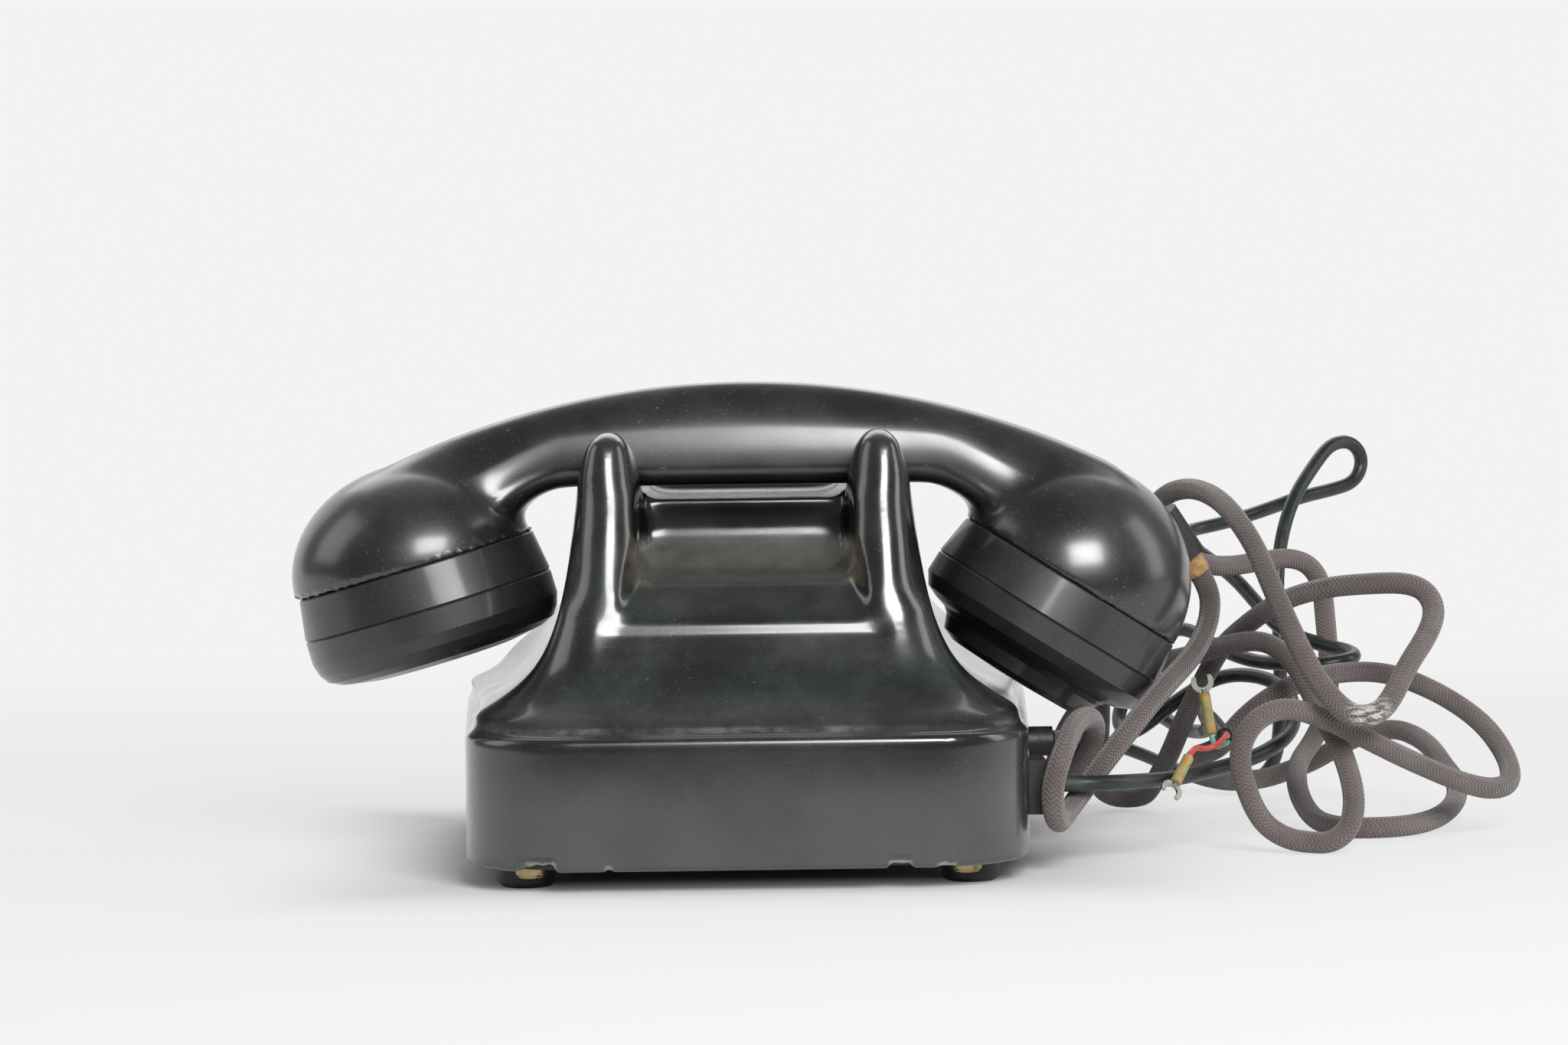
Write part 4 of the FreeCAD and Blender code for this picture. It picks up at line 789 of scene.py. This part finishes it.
def dome_field(points, centre, axis, height):
    """Distance to a dome, and its direction."""
    offset = points - centre
    along = offset @ axis
    across = offset - along[:, None] * axis
    scaled = across / DOME_RADIUS ** 2 + (along / height ** 2)[:, None] * axis
    level = np.sqrt((across ** 2).sum(1) / DOME_RADIUS ** 2 + (along / height) ** 2)
    slope = np.maximum(np.linalg.norm(scaled, axis=1), 1e-6)
    return (level - 1) * level / slope, scaled / slope[:, None]


def handset_field(points):
    """The grip and the domes joined by a soft blend: wide at the sides, tight below the grip."""
    grip, grip_way = grip_field(points)
    grip = grip + np.maximum(np.abs(points[:, 0]) - GRIP_END, 0)
    right = points[:, 0] > 0
    first, first_way = dome_field(points, *DOMES[0])
    second, second_way = dome_field(points, *DOMES[1])
    dome = np.where(right, first, second)
    dome_way = np.where(right[:, None], first_way, second_way)
    turn = np.clip(1 - (grip_way * dome_way).sum(1), 0, 1.3)
    width = BLEND_LOW + BLEND_GROWTH * step_share(points[:, 2], *BLEND_HEIGHTS)
    width = np.maximum(width * turn, 0.01)
    share = np.clip(0.5 + 0.5 * (dome - grip) / width, 0, 1)
    distance = dome + (grip - dome) * share - width * share * (1 - share)
    way = dome_way + (grip_way - dome_way) * share[:, None]
    way /= np.maximum(np.linalg.norm(way, axis=1), 1e-6)[:, None]
    return distance, way


def bore_distance(points):
    """Distance to the bore that carries the wires through the handset."""
    x, z = points[:, 0], points[:, 2]
    line = np.interp(x, [spot[0] for spot in WIRE_BORE], [spot[1] for spot in WIRE_BORE])
    beyond = np.maximum(x - WIRE_BORE[-1][0], 0) + np.maximum(WIRE_BORE[0][0] - x, 0)
    return np.hypot(points[:, 1] - HANDSET_Y, (z - line) * 0.78) + beyond


def collar_distance(points):
    """Distance to the line of the collar in the transmitter's dome."""
    offset = points - np.array(COLLAR_PLACE)
    return np.linalg.norm(offset - (offset @ COLLAR_WAY)[:, None] * COLLAR_WAY, axis=1)


def outer_share(form):
    """1 on the outer skin of the grip and the domes, 0 in their hollows and holes."""
    points = form.points.copy()
    side = points[:, 0] > 0
    above = [(points - centre) @ axis for centre, axis, _ in DOMES]
    above = np.where(side, above[0], above[1])
    above[np.abs(points[:, 0]) < 50] = 9
    grip, _ = grip_field(points)
    domes = [dome_field(points, *dome)[0] for dome in DOMES]
    depth = np.minimum(grip, np.where(side, domes[0], domes[1]))
    form.smooth(2)
    points = form.points
    _, way = handset_field(points)
    facing = step_share((form.normals() * way).sum(1), 0.4, 0.75)
    bored = (bore_distance(points) < BORE_REACH) | (collar_distance(points) < COLLAR_REACH)
    outer = np.where(bored, facing, 1.0) * (depth > -SKIN)
    collared = (collar_distance(points) < COLLAR_AREA) & (depth > -COLLAR_SKIN)
    collared &= points[:, 0] < -100
    return (np.where(collared, facing, outer) * (above > 0.5))[:, None]


def make_handset(materials):
    body = Form("handset_grip", "handset_body")
    share = outer_share(body)

    def settle():
        distance, way = handset_field(body.points)
        body.points -= share * distance[:, None] * way

    for _ in range(10):
        for _ in range(3):
            settle()
        body.smooth(2, share)
    settle()
    piece = body.finish(materials["grip_bakelite"], "handset")
    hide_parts("handset_body")


# Housing: the backs of the rear prongs stand steeper than the flare below them, and are rounder
PRONG_HEIGHTS = (66, 70, 76, 84, 92, 100, 106)
PRONG_SHIFTS = (0.0, 0.4, 1.4, 3.1, 5.0, 7.0, 7.4)
PRONG_X, PRONG_REACH, PRONG_CURVE = 36, 8, 18
# A shallow hollow below the lip of the recess leaves a rounded bead
LIP_HEIGHTS = (52, 57.5, 62.8, 68.3, 72)
LIP_SHIFTS = (0.0, -0.35, -1.0, -0.05, 0.0)
# The inner wall of the recess stands upright
WALL_HEIGHTS = (84, 88, 98)
WALL_SHIFTS = (0, 0.7, 3.6)
# How much of the smoothing's rise the hollow corners get
FILLING = 1.6


def soften(form):
    """Fill the hollow corners above the ledge, and smooth the inner faces of the prongs."""
    start = form.points.copy()
    normals = form.normals()
    above_ledge = step_share(start[:, 2], 36, 44)
    form.smooth(40)
    rise = np.maximum(((form.points - start) * normals).sum(1), 0) * above_ledge * FILLING
    form.points = start + normals * rise[:, None]
    x, y, z = form.points.T
    prongs = span_share(z, 86, 92, 104, 110) * step_share(np.abs(y - HANDSET_Y), 14, 20)
    form.smooth(50, prongs[:, None])


def shape_back(form):
    """Set the prongs, the lip and the recess as the photograph shows them."""
    x, y, z = form.points.T
    behind = step_share(np.abs(x), 25.5, 29) * step_share(y, 31, 43)
    steeper = np.interp(z, PRONG_HEIGHTS, PRONG_SHIFTS) * behind
    off_middle = np.clip(np.abs(x) - PRONG_X, -PRONG_REACH, PRONG_REACH)
    rounder = -off_middle ** 2 / PRONG_CURVE * behind * step_share(z, 68, 78)
    middle = (1 - step_share(np.abs(x), 32, 39)) * step_share(y, 50, 54)
    lip = np.interp(z, LIP_HEIGHTS, LIP_SHIFTS) * middle
    recess = (1 - step_share(np.abs(x), 25, 28)) * span_share(y, 20, 29, 36, 42)
    upright = np.interp(z, WALL_HEIGHTS, WALL_SHIFTS) * recess
    form.points[:, 1] += steeper + rounder + lip + upright
    form.smooth(14, (middle * span_share(z, 62, 65, 70, 73))[:, None])
    prongs = span_share(z, 70, 77, 107, 111) * step_share(y, 40, 46) * step_share(np.abs(x), 23, 26)
    form.smooth(24, prongs[:, None])
    form.smooth(2)


def bite_chips(form):
    x, y, z = form.points.T
    edge = (1 - step_share(z, 7.5, 9.5)) * step_share(y, 84, 86)
    for start_x, end_x, depth in CHIPS:
        inside = span_share(x, start_x, start_x + 1.5, end_x - 1.5, end_x) * edge
        for index in np.nonzero(inside)[0]:
            ragged = 1 + 0.5 * noise.noise(Vector((x[index] * 0.45, 0.0, depth)))
            bite = depth * inside[index] * ragged
            form.points[index, 2] += bite
            form.points[index, 1] -= 0.4 * bite


def make_housing(materials):
    housing = Form("housing_shell", "housing")
    housing.polish(14)
    soften(housing)
    shape_back(housing)
    bite_chips(housing)
    piece = housing.finish(housing_marks(materials["bakelite"]), "base")
    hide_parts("housing")


# Cords: their routes in millimetres, chosen along the loops in the photograph
WHIPPING_END = (-122.28, 4.42, 73.38)
HANDSET_CORD_ROUTE = [
    WHIPPING_END, (-125.04, 3.67, 69.27),
    (-125.3, 4.5, 62.5), (-122.5, 9, 56), (-118, 17, 51), (-110, 28, 45),
    (-101, 37, 36), (-92, 43, 26), (-85, 48, 18), (-80.5, 56, 13.5), (-78.5, 64, 13.5),
    (-77, 68, 17.5),
    (-77, 68.5, 24), (-80, 66, 32), (-84, 53, 38), (-89, 45, 39), (-91, 37, 34), (-89, 31, 27),
    (-85, 23, 22), (-83, 11, 20), (-83, -1, 20), (-85, -13, 22), (-88, -28, 27), (-94, -39, 34),
    (-105, -46, 41), (-117, -43, 46), (-126, -30, 49), (-134, -17, 53), (-143, -10, 54),
    (-150, -3, 47), (-154, 4, 37), (-159, 14, 26), (-161, 23, 15), (-159, 28, 7), (-154, 29, 3),
    (-148, 28, 3), (-142, 27, 4), (-136, 28, 8), (-132, 29, 15), (-129, 28, 26), (-133, 26, 35),
    (-142, 24, 39), (-154, 21, 35), (-167, 16, 28), (-179, 10, 22), (-192, 4, 16), (-202, -1, 13),
    (-209, -8, 14), (-210, -18, 20), (-205, -26, 29), (-194, -31, 37), (-180, -30, 43),
    (-166, -25, 44), (-153, -19, 42), (-142, -14, 37), (-135, -14, 31), (-131.5, -17, 25.5),
    (-129, -23, 22.5), (-125, -33, 20), (-127, -46, 15), (-134, -57, 11), (-143, -68, 9),
    (-152, -77, 9), (-160, -82, 11), (-166, -83, 13), (-172, -80, 17), (-180, -80, 21),
    (-189, -79, 23), (-195, -74, 21), (-198, -65, 18), (-199, -53, 14), (-200, -39, 11),
    (-197, -25, 7), (-190, -14, 4), (-181, -6, 3), (-170, -2, 3), (-161, -4, 3), (-156, -11, 4),
    (-154, -21, 7), (-154, -35, 11), (-156, -48, 16), (-163, -60, 22), (-168, -67, 30),
    (-169, -70, 42), (-168, -71, 56), (-167, -70, 66), (-163, -69, 72), (-156, -66, 74),
    (-147, -60, 73), (-135, -51, 72), (-124, -43, 75), (-116, -37, 82), (-114, -31, 90),
    (-118, -22, 95), (-124, -11, 96), (-130, 1, 92), (-136, 11, 82), (-140, 18, 70), (-145, 23, 57),
    (-150, 28, 46), (-155.5, 31, 39), (-160, 32, 36.5), (-165.5, 31.5, 37), (-169.5, 29.5, 40.5),
    (-175, 23, 49), (-182, 16, 57), (-185, 10, 63), (-183, 7, 68), (-178, 5, 70), (-170, 4, 70),
    (-157, 1, 69), (-146, -8, 65), (-139, -22, 58), (-133, -33, 51), (-128, -39, 40),
    (-124, -48, 29),
    (-121, -58, 18), (-118, -67, 10), (-116, -73, 5), (-113, -78, 3.5), (-107.5, -79.5, 3.5),
    (-103, -77.5, 6), (-101.5, -73.5, 11.5), (-102, -69, 20), (-102, -63, 34), (-99, -56, 45),
    (-97, -46, 50), (-95, -36, 47), (-93, -25, 40), (-91, -11, 35), (-92, 3, 32), (-92, 13, 31),
    (-91.5, 20, 30.5), (-86.5, 24, 30.5),
    (-81.05, 24, 30.5),
]
LINE_CORD_ROUTE = [
    (-76.7, 54, 22.3),
    (-87, 54, 22.3), (-96, 49.5, 22), (-104.5, 41.5, 21.5), (-113, 32, 21), (-124, 21, 22),
    (-136, 12, 24), (-146, 2, 28),
    (-151, -14, 33), (-151, -31, 39), (-144, -43, 42), (-135, -53, 41), (-125, -58, 35),
    (-116, -63, 27), (-111, -69, 23), (-108, -77, 25), (-110, -84, 31), (-116, -87, 40),
    (-122, -86, 49), (-126, -82, 53), (-131, -75, 52), (-136, -63, 48), (-144, -51, 45),
    (-153, -41, 45), (-161, -36, 45), (-168, -36, 46), (-172, -41, 47), (-171, -49, 48),
    (-165, -56, 49), (-154, -64, 53), (-149, -75, 60), (-143, -85, 68), (-134, -96, 75),
    (-130, -107, 79), (-134, -116, 80), (-146, -122, 82), (-158, -130, 85), (-171, -137, 89),
    (-182, -143, 91), (-189, -146, 93), (-192, -148, 98), (-191, -147, 103), (-187, -145, 106),
    (-181, -141, 105), (-175, -134, 99), (-167, -125, 89), (-162, -117, 77), (-160, -112, 64),
    (-160, -108, 50), (-160, -106, 35), (-160, -108, 21), (-159, -110, 11), (-155, -112, 5),
    (-147, -116, 2.5), (-137, -124, 4), (-129, -137, 7), (-119, -147, 11), (-106, -155, 14),
    (-92, -159, 14), (-80, -156, 15), (-74, -149, 22), (-74, -139, 33), (-79, -128, 43),
    (-87, -117, 48), (-97, -107, 47), (-107, -99, 40), (-116, -90, 31), (-123, -79, 26),
    (-127, -67, 24), (-131, -52, 25), (-130, -38, 29), (-127, -27, 33), (-128, -16, 32),
    (-129.2, -8, 30), (-129.6, -1, 28.8),
]
HANDSET_CORD_DIAMETER, HANDSET_CORD_STEP, HANDSET_CORD_SIDES = 0.0058, 0.0006, 24
LINE_CORD_DIAMETER, LINE_CORD_STEP, LINE_CORD_SIDES = 0.0041, 0.0012, 20


def make_handset_cord(materials):
    line = even_steps(route_line("handset_cord_route", HANDSET_CORD_ROUTE), HANDSET_CORD_STEP)
    radius = HANDSET_CORD_DIAMETER / 2

    def radius_at(index, around):
        swell = noise.noise(Vector((index * 0.03, 3.1, 7.7))) * 0.00012
        crease = noise.noise(Vector((index * 0.012, around * 2.2, 1.3))) * 0.00016
        return radius - 0.00005 + swell + crease

    cord = swept_tube("handset_cord_braid", line, HANDSET_CORD_SIDES, radius_at)
    dress(cord, materials["braid"])
    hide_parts("handset_cord")
    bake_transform(cord)


def make_line_cord(materials):
    line = even_steps(route_line("line_cord_route", LINE_CORD_ROUTE), LINE_CORD_STEP)
    radius = LINE_CORD_DIAMETER / 2

    def radius_at(index, around):
        return radius + noise.noise(Vector((index * 0.02, around * 1.5, 9.2))) * 0.00006

    cord = swept_tube("line_cord_sheath", line, LINE_CORD_SIDES, radius_at)
    dress(cord, materials["line_rubber"])
    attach(cord, "base")
    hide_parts("line_cord")


# Dial: where its face is, its slant, and the circle of the finger holes in millimetres and degrees
DIAL_PLACE, DIAL_SLANT, NUMBER_PLATE_TOP = (0, -55.5, 71.5), math.radians(45), 1.8
HOLES_RADIUS, FIRST_HOLE, HOLE_STEP = 26.4, 22, 30
NUMBER_SIZE, NUMBER_RELIEF = 0.0068, 0.00006


def number_mesh(digit):
    data = bpy.data.curves.new("number", "FONT")
    data.body = str(digit)
    data.size, data.extrude = NUMBER_SIZE, NUMBER_RELIEF
    data.align_x, data.align_y = "CENTER", "CENTER"
    text = bpy.data.objects.new("number", data)
    scene.collection.objects.link(text)
    bpy.context.view_layer.update()
    graph = bpy.context.evaluated_depsgraph_get()
    mesh = bpy.data.meshes.new_from_object(text.evaluated_get(graph))
    bpy.data.objects.remove(text)
    return mesh


def make_numbers(materials):
    """Plain numbers on the number plate, one under each finger hole."""
    face = Matrix.Translation(mm(*DIAL_PLACE)) @ Matrix.Rotation(DIAL_SLANT, 4, "X")
    build = bmesh.new()
    for hole in range(10):
        mesh = number_mesh((hole + 1) % 10)
        angle = math.radians(FIRST_HOLE + HOLE_STEP * hole)
        spot = (HOLES_RADIUS * math.cos(angle), HOLES_RADIUS * math.sin(angle), NUMBER_PLATE_TOP)
        mesh.transform(face @ Matrix.Translation(mm(*spot)))
        build.from_mesh(mesh)
        bpy.data.meshes.remove(mesh)
    bmesh.ops.remove_doubles(build, verts=build.verts, dist=0.000001)
    bmesh.ops.recalc_face_normals(build, faces=build.faces)
    mesh = bpy.data.meshes.new("dial_numbers")
    build.to_mesh(mesh)
    build.free()
    numbers = bpy.data.objects.new("dial_numbers", mesh)
    scene.collection.objects.link(numbers)
    dress(numbers, materials["dark_plate"])
    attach(numbers, "base")


# Whipping: thread wound round the cord where it leaves the handset
THREAD_RADIUS, THREAD_TURNS, THREAD_SIDES, TURN_STEPS = 0.00030, 9, 8, 44
WINDING_RADIUS, WINDING_WOBBLE = 0.00315, 0.00012
CORE_RADIUS, CORE_SIDES, CORE_STEP = 0.0031, 32, 0.0011


def make_whipping(materials):
    start, end = mm(*COLLAR_PLACE), mm(*WHIPPING_END)
    way = (end - start).normalized()
    side = way.orthogonal().normalized()
    other = way.cross(side)
    length = (end - start).length
    steps = THREAD_TURNS * TURN_STEPS
    lay = []
    for step in range(steps + 1):
        share = step / steps
        angle = 2 * math.pi * step / TURN_STEPS
        reach = WINDING_RADIUS + WINDING_WOBBLE * noise.noise(Vector((share * 9, 0.5, 0)))
        along = start + way * (THREAD_RADIUS + share * (length - 2 * THREAD_RADIUS))
        lay.append(along + (side * math.cos(angle) + other * math.sin(angle)) * reach)
    wound = swept_tube("whipping_thread", lay, THREAD_SIDES, lambda index, around: THREAD_RADIUS)
    core_line = even_steps([start, end], CORE_STEP)
    core = swept_tube("whipping_core", core_line, CORE_SIDES, lambda index, around: CORE_RADIUS)
    for piece in (wound, core):
        dress(piece, materials["whipping"])
        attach(piece, "handset")
    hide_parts("cord_whipping")


# The making of the scene
make_camera()
make_world()
make_stage()
for lamp in LAMPS:
    make_lamp(*lamp)
materials = make_materials()
for part in frame["record"]["subparts"]:
    dress(nodes[part["node"]], materials[part["material_slot"]])
for node in ("receiver_ring", "receiver_cap", "transmitter_ring", "transmitter_cap"):
    dress(nodes[node], materials["cap_bakelite"])
dress(nodes["fork_lugs"], materials["lug_metal"])
make_housing(materials)
make_handset(materials)
make_handset_cord(materials)
make_line_cord(materials)
make_whipping(materials)
make_numbers(materials)
